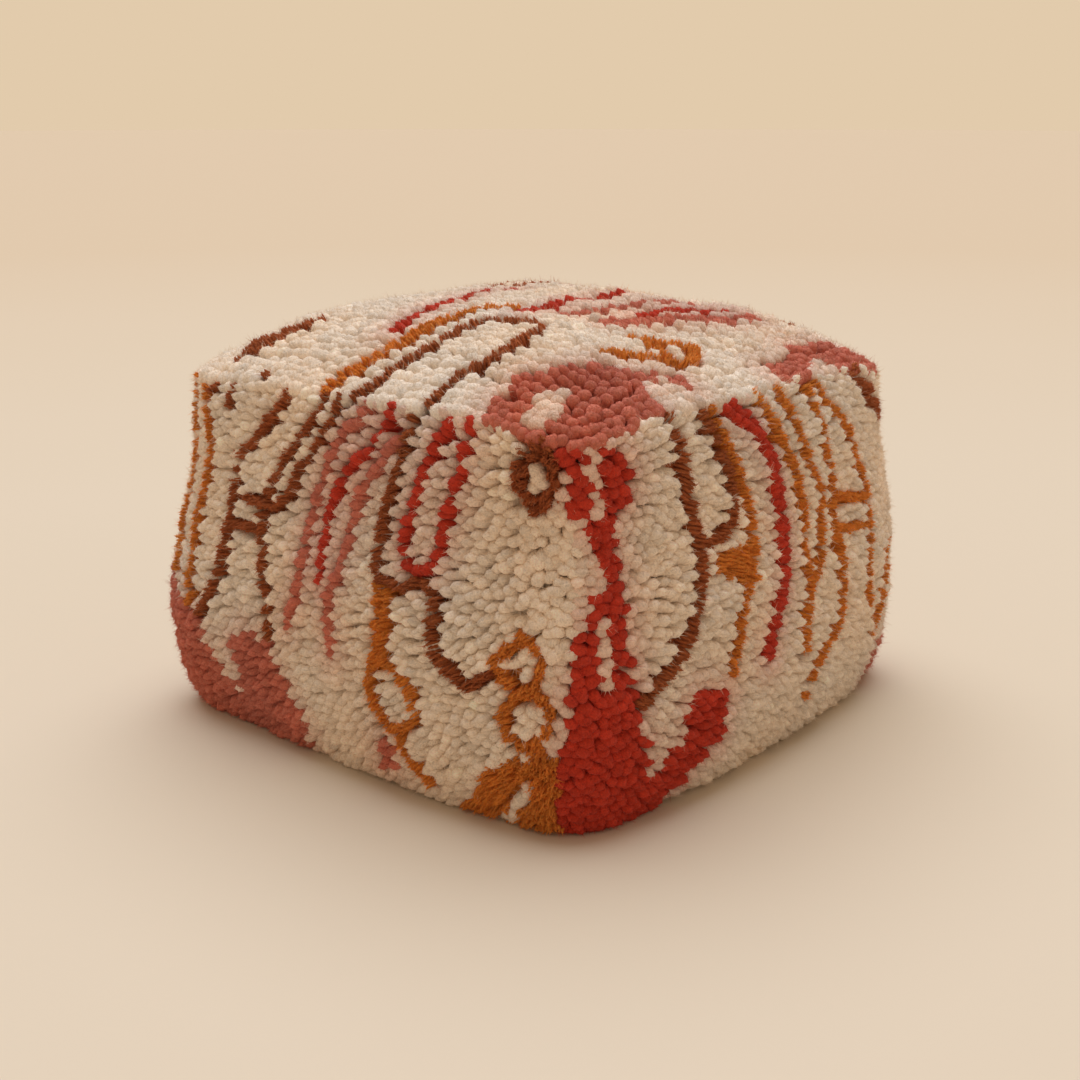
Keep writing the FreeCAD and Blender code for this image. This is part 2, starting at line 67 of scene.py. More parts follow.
# How far inside its form the cover starts, which the stuffing takes up
STUFFING_GIVES = 4 * MM

# Each side faces outward: its direction across, to the right as one looks at it, and its direction out
SIDES = {
    "front": ((1, 0), (0, -1)),
    "right": ((0, 1), (1, 0)),
    "back": ((-1, 0), (0, 1)),
    "left": ((0, -1), (-1, 0)),
}

# Dyed yarns: colour, strands in a knot, a strand's half thickness and the strands' spread in millimetres,
# and how frizzy the cut ends are
YARNS = {
    "ivory": ("#F3E1CD", 1, 5.6, 0.0, 0.6),
    "red": ("#C33A24", 1, 5.5, 0.0, 0.7),
    "rose": ("#CB745F", 1, 5.5, 0.0, 0.8),
    "ochre": ("#F0913A", 7, 2.7, 4.0, 1.0),
    "brown": ("#BA6537", 7, 2.6, 3.8, 1.0),
}

# The pattern, in millimetres. On a side: across from its middle, and height. On the top: X and Y.
# A stroke is (yarn, width, points), and a patch has no width.
PATTERN = {
    "front": [
        ("rose", None, [(-280, 140), (-211, 118), (-193, 93), (-175, 82), (-161, 56), (-152, 45),
                        (-138, 76), (-150, 93), (-154, 113), (-109, 116), (-93, 104), (-84, 90),
                        (-64, 59), (-52, 47), (-60, -5), (-280, -5)]),
        ("ochre", 8, [(-256, 340), (-254, 280), (-254, 240), (-261, 195), (-259, 144)]),
        ("ochre", 9, [(-222, 340), (-209, 283), (-213, 241), (-220, 170), (-216, 124)]),
        ("brown", 9, [(-196, 342), (-211, 332)]),
        ("brown", 10, [(-172, 342), (-180, 322)]),
        ("brown", 10, [(-80, 340), (-123, 306), (-145, 283), (-161, 215), (-166, 172), (-198, 116)]),
        ("brown", 10, [(-26, 340), (-54, 306), (-82, 284), (-106, 228)]),
        ("brown", 10, [(-106, 228), (-102, 186), (-94, 120)]),
        ("brown", 12, [(-158, 214), (-104, 219)]),
        ("brown", 8, [(-4, 340), (-21, 315), (-51, 280), (-80, 243), (-136, 240)]),
        ("rose", 12, [(28, 340), (-14, 292), (-36, 238), (-50, 180), (-66, 135)]),
        ("rose", 12, [(66, 318), (34, 275), (9, 209), (-7, 172), (-2, 121)]),
        ("red", 12, [(60, 340), (44, 318), (7, 282), (-14, 230), (-18, 187)]),
        ("brown", 9, [(86, 340), (77, 306), (61, 252), (59, 200)]),
        ("red", 12, [(153, 338), (147, 304), (137, 268), (130, 240), (119, 219), (98, 218), (86, 236),
                     (92, 263), (109, 303), (128, 338)]),
        ("ochre", 19, [(66, 199), (65, 165), (61, 138)]),
        ("ochre", 12, [(63, 137), (51, 113), (54, 90), (71, 74), (94, 82), (103, 101), (89, 121),
                       (66, 138)]),
        ("ivory", 9, [(69, 114), (83, 98)]),
        ("ochre", 9, [(84, 66), (90, 50), (111, 28)]),
        ("rose", None, [(52, 60), (68, 64), (68, 33), (50, 28)]),
        ("brown", 11, [(62, 203), (84, 202), (125, 202), (127, 184), (127, 155), (141, 141), (161, 133),
                       (182, 146)]),
        ("brown", 13, [(231, 336), (246, 327), (249, 309), (233, 298), (214, 304), (211, 324), (231, 337)]),
        ("ivory", 8, [(226, 322), (234, 313)]),
        ("ochre", 12, [(216, 182), (237, 168), (231, 153), (214, 137), (200, 140), (186, 157),
                       (198, 169), (216, 182)]),
        ("ochre", 12, [(214, 137), (239, 125), (240, 113), (226, 95), (212, 91), (200, 102), (199, 117),
                       (214, 137)]),
        ("ivory", 8, [(206, 155), (216, 164)]),
        ("ivory", 8, [(215, 105), (223, 115)]),
        ("ochre", None, [(231, 98), (220, 84), (193, 67), (161, 36), (141, 10), (150, -4), (252, -4),
                         (249, 84)]),
        ("ivory", 11, [(186, 0), (204, 26), (219, 52)]),
        ("red", None, [(284, 166), (266, 146), (258, 124), (252, 92), (251, -4), (284, -4)]),
        ("red", None, [(250, 342), (290, 342), (290, 286), (268, 303), (264, 322)]),
    ],
    "right": [
        ("red", None, [(-292, 342), (-271, 336), (-266, 306), (-271, 290), (-262, 283), (-253, 306),
                       (-258, 340), (-236, 338), (-217, 319), (-222, 300), (-236, 269), (-231, 232),
                       (-227, 195), (-222, 150), (-217, 116), (-203, 76), (-198, 53), (-184, 56),
                       (-175, 70), (-147, 67), (-163, 87), (-147, 110), (-96, 101), (-98, 84),
                       (-112, 56), (-140, 40), (-175, 14), (-205, -4), (-292, -4), (-292, 172),
                       (-278, 189), (-276, 209), (-252, 218), (-262, 246), (-278, 283), (-292, 292)]),
        ("ivory", 8, [(-254, 190), (-255, 142)]),
        ("brown", 12, [(-163, 342), (-154, 303), (-145, 249), (-138, 205), (-149, 175), (-163, 153),
                       (-187, 133), (-212, 120)]),
        ("brown", 12, [(-118, 340), (-98, 306), (-86, 270), (-86, 249), (-103, 238), (-140, 236)]),
        ("ochre", None, [(-128, 216), (-107, 226), (-60, 222), (-58, 184), (-93, 196)]),
        ("ochre", 11, [(-101, 342), (-77, 283), (-60, 245), (-63, 205), (-82, 167), (-84, 141),
                       (-96, 112)]),
        ("red", 13, [(-80, 342), (-37, 312), (-16, 283), (-8, 240), (-6, 204), (-14, 165), (-26, 144),
                     (-36, 114)]),
        ("ochre", 12, [(-30, 342), (-9, 312), (28, 258), (36, 229), (31, 195), (36, 164), (26, 100)]),
        ("ochre", 11, [(6, 342), (40, 292), (56, 266), (72, 240), (64, 215), (63, 187), (42, 160)]),
        ("ochre", 10, [(56, 342), (84, 289), (95, 258), (91, 210), (105, 167), (98, 110), (64, 88),
                       (38, 58)]),
        ("ochre", 10, [(72, 342), (133, 295), (159, 266), (171, 235), (169, 181), (164, 144), (172, 112)]),
        ("ochre", 10, [(105, 234), (168, 224)]),
        ("ochre", 9, [(98, 205), (168, 196)]),
        ("ochre", 9, [(248, 158), (229, 135), (212, 110), (194, 76)]),
        ("rose", None, [(206, 40), (250, 56), (292, 44), (292, -4), (216, -4)]),
        ("brown", 15, [(164, 338), (205, 322), (248, 306)]),
    ],
    "back": [
        ("rose", None, [(-290, 60), (-240, 84), (-196, 40), (-210, -4), (-290, -4)]),
        ("ochre", 11, [(-238, 342), (-222, 270), (-230, 190), (-206, 120)]),
        ("brown", 10, [(-190, 342), (-170, 268), (-164, 180), (-120, 176), (-116, 262), (-140, 342)]),
        ("red", 12, [(-84, 342), (-66, 250), (-74, 160), (-60, 90)]),
        ("rose", 12, [(-52, 342), (-36, 254), (-44, 150)]),
        ("ochre", None, [(-28, 96), (16, 132), (40, 84), (20, 22), (-18, 30)]),
        ("ivory", None, [(-4, 88), (12, 100), (20, 76), (6, 62)]),
        ("red", 13, [(22, 342), (10, 268), (24, 196), (66, 190), (72, 262), (52, 342)]),
        ("brown", 10, [(104, 342), (116, 262), (100, 170), (140, 112), (182, 118)]),
        ("ochre", 10, [(146, 342), (160, 270), (152, 196)]),
        ("ochre", 11, [(172, 342), (190, 262), (186, 170), (206, 92)]),
        ("red", None, [(212, 150), (252, 176), (290, 150), (290, -4), (236, -4), (222, 66)]),
        ("rose", 12, [(232, 342), (246, 280), (238, 220)]),
    ],
    "left": [
        ("red", 17, [(-262, 342), (-248, 268), (-256, 190), (-238, 120)]),
        ("ochre", None, [(-290, 92), (-236, 108), (-204, 52), (-218, -4), (-290, -4)]),
        ("brown", 11, [(-208, 342), (-192, 254), (-204, 168), (-164, 104), (-128, 120)]),
        ("ochre", 11, [(-164, 342), (-146, 268), (-152, 184)]),
        ("rose", 13, [(-118, 342), (-100, 266), (-106, 170), (-86, 96)]),
        ("red", 12, [(-84, 342), (-66, 262), (-72, 186)]),
        ("brown", 10, [(-30, 342), (-14, 250), (-24, 150), (22, 142), (30, 246), (12, 342)]),
        ("ochre", None, [(-20, 62), (24, 96), (62, 58), (46, 6), (-8, 4)]),
        ("red", 13, [(72, 342), (84, 262), (70, 176), (92, 104)]),
        ("rose", 12, [(108, 342), (120, 250), (112, 160)]),
        ("ochre", 10, [(142, 342), (158, 262), (150, 170), (172, 84)]),
        ("ochre", 12, [(150, 214), (206, 208)]),
        ("brown", 11, [(196, 342), (212, 256), (206, 160)]),
        ("rose", None, [(206, 96), (240, 130), (290, 118), (290, -4), (196, -4)]),
        ("ochre", 9, [(242, 342), (254, 270), (246, 190)]),
    ],
    "top": [
        ("rose", None, [(152, -290), (147, -255), (140, -234), (140, -213), (152, -203), (163, -185),
                        (174, -168), (188, -138), (201, -136), (213, -108), (224, -92), (238, -94),
                        (222, -116), (222, -140), (240, -156), (256, -124), (290, -116), (290, -290)]),
        ("ivory", None, [(186, -250), (176, -231), (179, -215), (186, -192), (201, -224), (200, -246)]),
        ("ochre", 10, [(172, -138), (186, -112), (201, -84), (213, -54)]),
        ("ochre", 10, [(166, -80), (179, -56), (192, -31)]),
        ("ochre", 10, [(193, -31), (213, -54)]),
        ("ochre", 8, [(171, -78), (184, -76), (201, -82)]),
        ("ivory", 8, [(188, -62), (197, -55)]),
        ("brown", 11, [(2, -290), (8, -262), (20, -246), (27, -196), (28, -159), (36, -126), (61, -120),
                       (100, -126), (101, -157), (100, -187), (93, -229), (86, -290)]),
        ("ochre", 15, [(-42, -290), (-23, -243), (-6, -201), (-5, -164), (-4, -124), (4, -84), (24, -78)]),
        ("red", 10, [(-32, -182), (-45, -147), (-50, -110), (-61, -63), (-72, -14), (-68, 30)]),
        ("red", 10, [(41, -94), (43, -56), (40, -2), (44, 60)]),
        ("rose", 10, [(75, -63), (81, -28), (88, 28), (112, 96)]),
        ("red", 11, [(118, -7), (121, 44), (138, 104)]),
        ("rose", 14, [(122, -63), (128, -28), (138, 2), (150, 38), (166, 118)]),
        ("rose", None, [(240, 10), (231, 61), (220, 94), (213, 145), (217, 176), (231, 236), (248, 290),
                        (290, 290), (290, 128), (262, 122), (255, 100), (248, 124), (240, 116),
                        (242, 89), (249, 70), (256, 40), (256, 24)]),
        ("brown", None, [(-182, -238), (-160, -234), (-154, -208), (-141, -192), (-136, -158),
                         (-152, -150), (-174, -172), (-196, -205)]),
        ("brown", 10, [(-196, -262), (-186, -256)]),
        ("brown", 10, [(-168, -270), (-162, -262)]),
        ("brown", 10, [(-120, -252), (-118, -290)]),
        ("brown", 10, [(-150, 290), (-132, 180), (-146, 60), (-108, 52), (-96, 170), (-112, 290)]),
        ("ochre", 12, [(-236, 60), (-206, -20), (-214, -104)]),
        ("red", 12, [(-196, 290), (-182, 190), (-192, 96)]),
        ("rose", 12, [(-60, 290), (-48, 200), (-56, 116)]),
        ("ochre", 11, [(4, 290), (18, 196), (10, 110)]),
        ("rose", None, [(-290, 290), (-290, 196), (-244, 210), (-222, 290)]),
        ("brown", 11, [(70, 290), (84, 214), (146, 196), (160, 290)]),
    ],
}


def linear(hex_colour):
    """Linear RGB of an sRGB hex value."""
    parts = [int(hex_colour[at:at + 2], 16) / 255 for at in (1, 3, 5)]
    return [part / 12.92 if part <= 0.04045 else ((part + 0.055) / 1.055) ** 2.4 for part in parts]


def rgba(hex_colour):
    return (*linear(hex_colour), 1.0)


def through(points, at):
    """A smooth curve through points, read at the given places."""
    x, y = np.array(points, float).T
    slope = np.gradient(y, x)
    place = np.clip(np.searchsorted(x, at) - 1, 0, len(x) - 2)
    step = x[place + 1] - x[place]
    t = (at - x[place]) / step
    return (y[place] * (1 + 2 * t) * (1 - t) ** 2 + step * slope[place] * t * (1 - t) ** 2
            + y[place + 1] * t ** 2 * (3 - 2 * t) + step * slope[place + 1] * t ** 2 * (t - 1))


def share_at(height):
    """Size of the outline at a height, over the widest girth."""
    return through(WALL, np.asarray(height) / MM)


def quarter_outline(share, inset):
    """A quarter of the level outline, from +X round to +Y: a side, the corner and the other side."""
    half_x, half_y = HALF_WIDTH * share, HALF_DEPTH * share
    radius, corner = SIDE_RADIUS * share, CORNER_RADIUS * share
    side_x, side_y = half_x - radius, half_y - radius
    half_gap = math.hypot(side_x, side_y) / 2
    away = math.sqrt((radius - corner) ** 2 - half_gap ** 2) / (2 * half_gap)
    corner_x, corner_y = side_x / 2 - side_y * away, side_y / 2 - side_x * away
    start = math.atan2(corner_y, corner_x - side_x)
    end = math.pi / 2 - math.atan2(corner_x, corner_y - side_y)
    low = np.linspace(0, start, 40)
    mid = np.linspace(start, end, 90)[1:]
    high = np.linspace(end, math.pi / 2, 40)[1:]
    radius, corner = radius - inset, corner - inset
    x = [side_x + radius * np.cos(low), corner_x + corner * np.cos(mid), radius * np.cos(high)]
    y = [radius * np.sin(low), corner_y + corner * np.sin(mid), side_y + radius * np.sin(high)]
    return np.concatenate(x), np.concatenate(y)


def half_edge(side, share, inset):
    """From a side's middle to its corner seam: distances out and across, and the way along the tips."""
    tip_x, tip_y = quarter_outline(share, 0)
    x, y = quarter_outline(share, inset)
    bearing = np.arctan2(tip_y, tip_x)
    seam = np.interp(math.atan2(HALF_DEPTH, HALF_WIDTH), bearing, np.arange(len(x)))
    steps = np.append(np.arange(math.ceil(seam)), seam)
    if side in ("front", "back"):
        steps = np.append(np.arange(len(x) - 1, math.floor(seam), -1), seam)
        x, y, tip_x, tip_y = y, x, tip_y, tip_x
    out, across, tip_out, tip_across = (np.interp(steps, np.arange(len(x)), axis)
                                        for axis in (x, y, tip_x, tip_y))
    return out, across, np.append(0, np.cumsum(np.hypot(np.diff(tip_out), np.diff(tip_across))))


def edge_points(side, share, inset, places):
    """Level points of a side at shares of its half length, from -1 to 1."""
    out, across, way = half_edge(side, share, inset)
    along = np.abs(places) * way[-1]
    across_axis, out_axis = (np.array(axis, float) for axis in SIDES[side])
    sideways = np.sign(places) * np.interp(along, way, across)
    return sideways[:, None] * across_axis + np.interp(along, way, out)[:, None] * out_axis


def even_heights(count):
    """Heights from the hem to the seam, evenly spaced along the wall's own curve."""
    fine = np.linspace(HEM, SEAM, 400)
    way = np.append(0, np.cumsum(np.hypot(np.diff(share_at(fine)) * HALF_WIDTH, np.diff(fine))))
    return np.interp(np.linspace(0, way[-1], count), way, fine)


def side_grid(side, inset, rows, columns):
    """Points of a side panel, by row upward and by column across."""
    places = np.linspace(-1, 1, columns)
    levels = [np.column_stack([edge_points(side, share_at(height), inset, places), np.full(columns, height)])
              for height in even_heights(rows)]
    return np.array(levels)


def crown_grid(inset, count):
    """Points of the top panel, by row along Y and by column along X, highest in the middle."""
    a, b = np.meshgrid(np.linspace(-1, 1, count), np.linspace(-1, 1, count))
    ring = np.maximum(np.abs(a), np.abs(b))
    inner = np.maximum(ring, 1e-9)
    points = np.zeros((count, count, 3))
    for side, ((across_x, across_y), (out_x, out_y)) in SIDES.items():
        here = (a * out_x + b * out_y) >= ring - 1e-9
        places = ((a * across_x + b * across_y) / inner)[here]
        points[here, :2] = edge_points(side, SEAM_SHARE, inset, places) * ring[here][:, None]
    points[..., 2] = SEAM + (CROWN - inset) * (1 - ring ** 3)
    return points


def quads(rows, columns):
    """Faces of a grid of points."""
    low = (np.arange(rows - 1)[:, None] * columns + np.arange(columns - 1)).ravel()
    return np.column_stack([low, low + 1, low + columns + 1, low + columns])


def way_along(points):
    """Distance of each point from the first, along the line that they make."""
    return np.append(0, np.cumsum(np.linalg.norm(np.diff(points, axis=0), axis=1)))


def new_object(name, points, faces=(), edges=()):
    mesh = bpy.data.meshes.new(name)
    mesh.from_pydata([tuple(point) for point in points], [tuple(edge) for edge in edges],
                     [tuple(face) for face in faces])
    piece = bpy.data.objects.new(name, mesh)
    bpy.context.collection.objects.link(piece)
    return piece


def smooth(piece):
    piece.data.polygons.foreach_set("use_smooth", np.ones(len(piece.data.polygons), bool))
    return piece


# Stuffed cover: five panels' grids sewn into one closed bag, swollen by its stuffing, then taken apart again
ROWS, COLUMNS = 40, 65
SEWN_WITHIN = 1e-6


class Cover:
    """The woven ground of the five panels, as grids that share their seams."""

    def __init__(self, inset):
        self.grids = {side: side_grid(side, inset, ROWS, COLUMNS) for side in SIDES}
        self.grids["top"] = crown_grid(inset, COLUMNS)
        loose = np.concatenate([grid.reshape(-1, 3) for grid in self.grids.values()])
        first, sewn = np.unique(np.round(loose / SEWN_WITHIN).astype(int), axis=0, return_index=True,
                                return_inverse=True)[1:]
        self.points = loose[first]
        # Which of the sewn points each panel's grid holds
        ends = np.cumsum([grid.shape[0] * grid.shape[1] for grid in self.grids.values()])
        parts = zip(self.grids.items(), np.split(sewn.ravel(), ends[:-1]))
        self.index = {name: part.reshape(grid.shape[:2]) for (name, grid), part in parts}
        self.faces = np.concatenate([index.ravel()[quads(*index.shape)] for index in self.index.values()])

    def seam_points(self):
        """Which points lie on a seam, and which at the hem."""
        seam, hem = np.zeros((2, len(self.points)), bool)
        for name, index in self.index.items():
            for edge in (index[0], index[-1], index[:, 0], index[:, -1]):
                seam[edge] = True
            if name != "top":
                hem[index[0]] = True
        return seam, hem

    def hem_loop(self):
        """The bag's open lower edge, round the four sides."""
        return [point for side in SIDES for point in self.index[side][0, :-1]]

    def by_panel(self, values):
        """Values of the sewn points as grids, one for each panel."""
        return {name: values[index] for name, index in self.index.items()}

    def move_to(self, points):
        self.points = points
        self.grids = self.by_panel(points)

    def normals(self, rounds):
        """Each point's outward direction, evened out over the seams."""
        corners = self.points[self.faces]
        face_normals = np.cross(corners[:, 2] - corners[:, 0], corners[:, 3] - corners[:, 1])
        around = np.zeros_like(self.points)
        for corner in range(4):
            np.add.at(around, self.faces[:, corner], face_normals)
        around /= np.linalg.norm(around, axis=1)[:, None]
        for turn in range(rounds):
            total = around.copy()
            for corner in range(4):
                here, beside = self.faces[:, corner], self.faces[:, (corner + 1) % 4]
                np.add.at(total, here, around[beside])
                np.add.at(total, beside, around[here])
            around = total / np.linalg.norm(total, axis=1)[:, None]
        return around


# Cloth settings of the swelling cover, how firmly its seams are held, and the frames that it takes
CLOTH = {"quality": 5, "mass": 0.4, "tension_stiffness": 20, "compression_stiffness": 20,
         "bending_stiffness": 2, "use_pressure": True, "uniform_pressure_force": 4}
SEAM_HOLD, FRAMES = 0.7, 20


def stuff(cover, cap):
    """Swells the sewn cover with cloth under pressure; the seams hold back and the hem stays."""
    bag = new_object("stuffed_bag", cover.points, list(cover.faces) + [cover.hem_loop()[::-1]])
    seam, hem = cover.seam_points()
    held = bag.vertex_groups.new(name="held")
    for index in np.flatnonzero(seam):
        held.add([int(index)], 1.0 if hem[index] else SEAM_HOLD, "REPLACE")
    cloth = bag.modifiers.new("stuffing", "CLOTH")
    for name, value in CLOTH.items():
        setattr(cloth.settings, name, value)
    cloth.settings.effector_weights.gravity = 0
    cloth.settings.vertex_group_mass = "held"
    cloth.point_cache.frame_start, cloth.point_cache.frame_end = 1, FRAMES
    scene = bpy.context.scene
    for number in range(1, FRAMES + 1):
        scene.frame_set(number)
    swollen = bag.evaluated_get(bpy.context.evaluated_depsgraph_get()).to_mesh()
    points = np.empty(len(swollen.vertices) * 3, np.float32)
    swollen.vertices.foreach_get("co", points)
    moved = points.reshape(-1, 3) - cover.points
    scene.frame_set(1)
    bpy.data.meshes.remove(bag.data)
    far = np.linalg.norm(moved, axis=1)[:, None]
    return cover.points + moved * np.minimum(1, cap / np.maximum(far, 1e-9))


# Where the photograph's pouf leans from the even form: middle of the place, reach, and how far it moves
SAGS = [
    ((0.27, 0.26, 0.30), 0.16, (0.006, 0.006, 0.0)),
    ((0.27, 0.27, 0.05), 0.14, (-0.006, -0.006, 0.0)),
    ((-0.10, -0.30, 0.0), 0.18, (0.0, 0.008, 0.0)),
    ((0.27, -0.28, 0.02), 0.12, (-0.007, 0.007, 0.0)),
    ((-0.26, -0.27, 0.32), 0.12, (-0.006, -0.006, 0.0)),
    ((-0.27, -0.28, 0.12), 0.11, (-0.006, -0.006, 0.0)),
    ((0.10, 0.22, 0.38), 0.16, (0.0, 0.0, -0.005)),
]

# How far the stuffing leaves each upper corner slack: its sign along X and Y, and the drop
SLACK_CORNERS = [((-1, -1), 9 * MM), ((1, -1), 11 * MM), ((1, 1), 14 * MM), ((-1, 1), 14 * MM)]
# Shares of the way into a corner where that starts and is full, the height it starts at, and its part inwards
SLACK_FROM, SLACK_FULL, SLACK_ABOVE, SLACK_INWARD = 0.45, 0.86, 0.2, 0.25
# How soon a lean fades, over its reach
SAG_FADE = 0.6

# Lumps of hand stuffing: how many to a metre, their height in metres, and where in the noise they start.
# They rise from none near the floor.
LUMPS, LUMP_HEIGHT, LUMP_START = 9.0, 0.0028, Vector((3.1, 7.7, 1.9))
LUMPS_ABOVE, LUMPS_RISE = 0.02, 0.06
# How much the stuffing may move the cover, over what it gives, and the rounds that even out its directions
SWELL_LIMIT, EVEN_ROUNDS = 1.8, 6


def eased(value, low, high):
    """Goes smoothly from 0 at low to 1 at high."""
    share = np.clip((value - low) / (high - low), 0, 1)
    return share * share * (3 - 2 * share)


def settle(points):
    """The unevenness of hand stuffing, slack upper corners, and the photograph's own lean."""
    moved = points.copy()
    for (sign_x, sign_y), drop in SLACK_CORNERS:
        into_corner = np.minimum(points[:, 0] * sign_x / HALF_WIDTH, points[:, 1] * sign_y / HALF_DEPTH)
        slack = (eased(into_corner / SEAM_SHARE, SLACK_FROM, SLACK_FULL)
                 * eased(points[:, 2], SLACK_ABOVE, SEAM))
        moved += slack[:, None] * np.array([-SLACK_INWARD * sign_x, -SLACK_INWARD * sign_y, -1]) * drop
    for middle, reach, shift in SAGS:
        near = np.exp(-((points - middle) ** 2).sum(-1) / (2 * (reach * SAG_FADE) ** 2))
        moved += near[..., None] * shift
    for place, point in enumerate(points):
        lump = noise.noise_vector(Vector(point) * LUMPS + LUMP_START)
        rise = min(1.0, max(0.0, point[2] - LUMPS_ABOVE) / LUMPS_RISE)
        moved[place] += np.array(lump) * LUMP_HEIGHT * rise
    return moved


cover = Cover(PILE + STUFFING_GIVES)
cover.move_to(settle(stuff(cover, SWELL_LIMIT * STUFFING_GIVES)))
outward = cover.by_panel(cover.normals(EVEN_ROUNDS))


def read_grid(grid, across, up):
    """Values of a grid between its points, at shares from 0 to 1 across and up."""
    rows, columns = grid.shape[:2]
    x = np.clip(across, 0, 1) * (columns - 1)
    y = np.clip(up, 0, 1) * (rows - 1)
    i, j = np.minimum(x.astype(int), columns - 2), np.minimum(y.astype(int), rows - 2)
    s, t = (x - i)[:, None], (y - j)[:, None]
    return (grid[j, i] * (1 - s) * (1 - t) + grid[j, i + 1] * s * (1 - t)
            + grid[j + 1, i] * (1 - s) * t + grid[j + 1, i + 1] * s * t)


def crown_places(x, y):
    """Places on the crown's grid, from 0 to 1 each way, and the ring, for points in plan."""
    a, b = np.zeros_like(x), np.zeros_like(y)
    for side, ((across_x, across_y), (out_x, out_y)) in SIDES.items():
        reach = x * out_x + y * out_y
        sideways = x * across_x + y * across_y
        out, across, way = half_edge(side, SEAM_SHARE, PILE)
        here = (reach > 0) & (np.abs(sideways) / np.maximum(reach, 1e-9) <= across[-1] / out[-1] + 1e-9)
        slope = np.abs(sideways[here]) / reach[here]
        place = np.interp(slope, across / out, way / way[-1])
        ring = reach[here] / np.interp(place, way / way[-1], out)
        place = place * np.sign(sideways[here]) * ring
        a[here] = ring * out_x + place * across_x
        b[here] = ring * out_y + place * across_y
    return (a + 1) / 2, (b + 1) / 2, np.maximum(np.abs(a), np.abs(b))


# Pattern: which yarn each knot is tied with. All lengths here are in millimetres.
# The step of a drawn line, and the step in which holes between knots are looked for
DRAWN_STEP, HOLE_STEP = 1.5, 4.0
# The width of a stroke that one line of knots fills, and the step along it in plump and in fine yarn
STROKE_LINE, PLUMP_STEP, FINE_STEP = 8.5, 6.2, 7.2
# Room that knots keep from those along the seams, from a later stroke and, in the rows, from any stroke
SEAM_ROOM, LATER_ROOM, STROKE_ROOM = 5.5, 5.0, 8.2
# Distance from all knots at which a hole would show
WALL_HOLE, TOP_HOLE = 7.6, 8.4
# The rows crowd together below the top seam: by how much, and from how far below
CROWDING, CROWDED_BELOW = 0.6, 34
# Knots along each side of the top, in three rings: how far each is set on, and its share of the outline
EDGE_KNOTS, EDGE_RINGS = 61, ((0, 0.997), (0.0085, 0.972), (0, 0.947))
CORNER_KNOTS = 38
# The rows' share of a side's width, how far knots stray along a stroke, and the width of a full tuft
ROWS_REACH, STROKE_STRAY, FULL_TUFT = 0.99, 0.8, 12
# How uneven the rows are, in steps across and up, and how far and how often a patch's edge wanders
UNEVEN_ACROSS, UNEVEN_UP = 0.11, 0.10
PATCH_WANDER, WANDERS = 4.0, 0.04
# The nap rises between these distances from the edge: shares of the top's reach, and millimetres on a side
TOP_NAP_RISE, SIDE_NAP_RISE = (0.04, 0.26), (20, 95)
TOP_EDGE = 1.004
# How much dye stains the ivory beside it, and how far it reaches
STAIN_SHARE, STAIN_REACH = 0.28, 22


def drawn(points):
    """A smooth line through a stroke's points, as closely spaced places."""
    points = np.array(points, float)
    way = way_along(points)
    fine = np.linspace(0, way[-1], max(3, int(way[-1] / DRAWN_STEP)))
    if len(points) < 3:
        return np.column_stack([np.interp(fine, way, axis) for axis in points.T])
    return np.column_stack([through(np.column_stack([way, axis]), fine) for axis in points.T])


def along_stroke(points, spacing, aside):
    """Places evenly spaced along a drawn line, set off to one side of it."""
    line = drawn(points)
    run = np.gradient(line, axis=0)
    run /= np.linalg.norm(run, axis=1)[:, None]
    line = line + aside * np.column_stack([-run[:, 1], run[:, 0]])
    way = way_along(line)
    steps = np.linspace(0, way[-1], max(2, round(way[-1] / spacing) + 1))
    return np.column_stack([np.interp(steps, way, axis) for axis in line.T])


def in_patch(places, points):
    """Which places lie inside a closed patch."""
    inside = np.zeros(len(places), bool)
    x, y = places.T
    for (x0, y0), (x1, y1) in zip(points, points[1:] + points[:1]):
        if y0 != y1:
            inside ^= ((y0 > y) != (y1 > y)) & (x < (x1 - x0) * (y - y0) / (y1 - y0) + x0)
    return inside


def clear_of(places, others, distance):
    """Which places keep a distance from all the others."""
    clear = np.ones(len(places), bool)
    for start in range(0, len(others), 200):
        gaps = np.linalg.norm(places[:, None] - others[None, start:start + 200], axis=2)
        clear &= gaps.min(axis=1) > distance
    return clear


def holes_between(places, distance):
    """Spots that lie further than a distance from every place and from each other."""
    low, high = places.min(axis=0), places.max(axis=0)
    x, y = np.meshgrid(np.arange(low[0], high[0], HOLE_STEP), np.arange(low[1], high[1], HOLE_STEP))
    spots = np.column_stack([x.ravel(), y.ravel()])
    found = []
    for spot in spots[clear_of(spots, places, distance)]:
        if all(math.dist(spot, other) > distance for other in found):
            found.append(spot)
    return np.array(found).reshape(-1, 2)


def knot_lattice(width, height, across, up, chance):
    """Knots in rows, a little uneven, each second row half a step aside, measured from the middle."""
    columns, rows = round(width / across), round(height / up)
    x, y = np.meshgrid(np.arange(columns) + 0.5 - columns / 2, np.arange(rows) + 0.5)
    x = x + np.where(np.arange(rows) % 2, 0.25, -0.25)[:, None]
    x = x + chance.normal(0, UNEVEN_ACROSS, x.shape)
    y = y + chance.normal(0, UNEVEN_UP, y.shape)
    return np.column_stack([x.ravel() * width / columns, y.ravel() * height / rows])


WALL_HEIGHTS = even_heights(300) / MM
WALL_WAY = np.linspace(0, np.hypot(np.diff(share_at(WALL_HEIGHTS * MM)) * HALF_WIDTH / MM,
                                   np.diff(WALL_HEIGHTS)).sum(), 300)


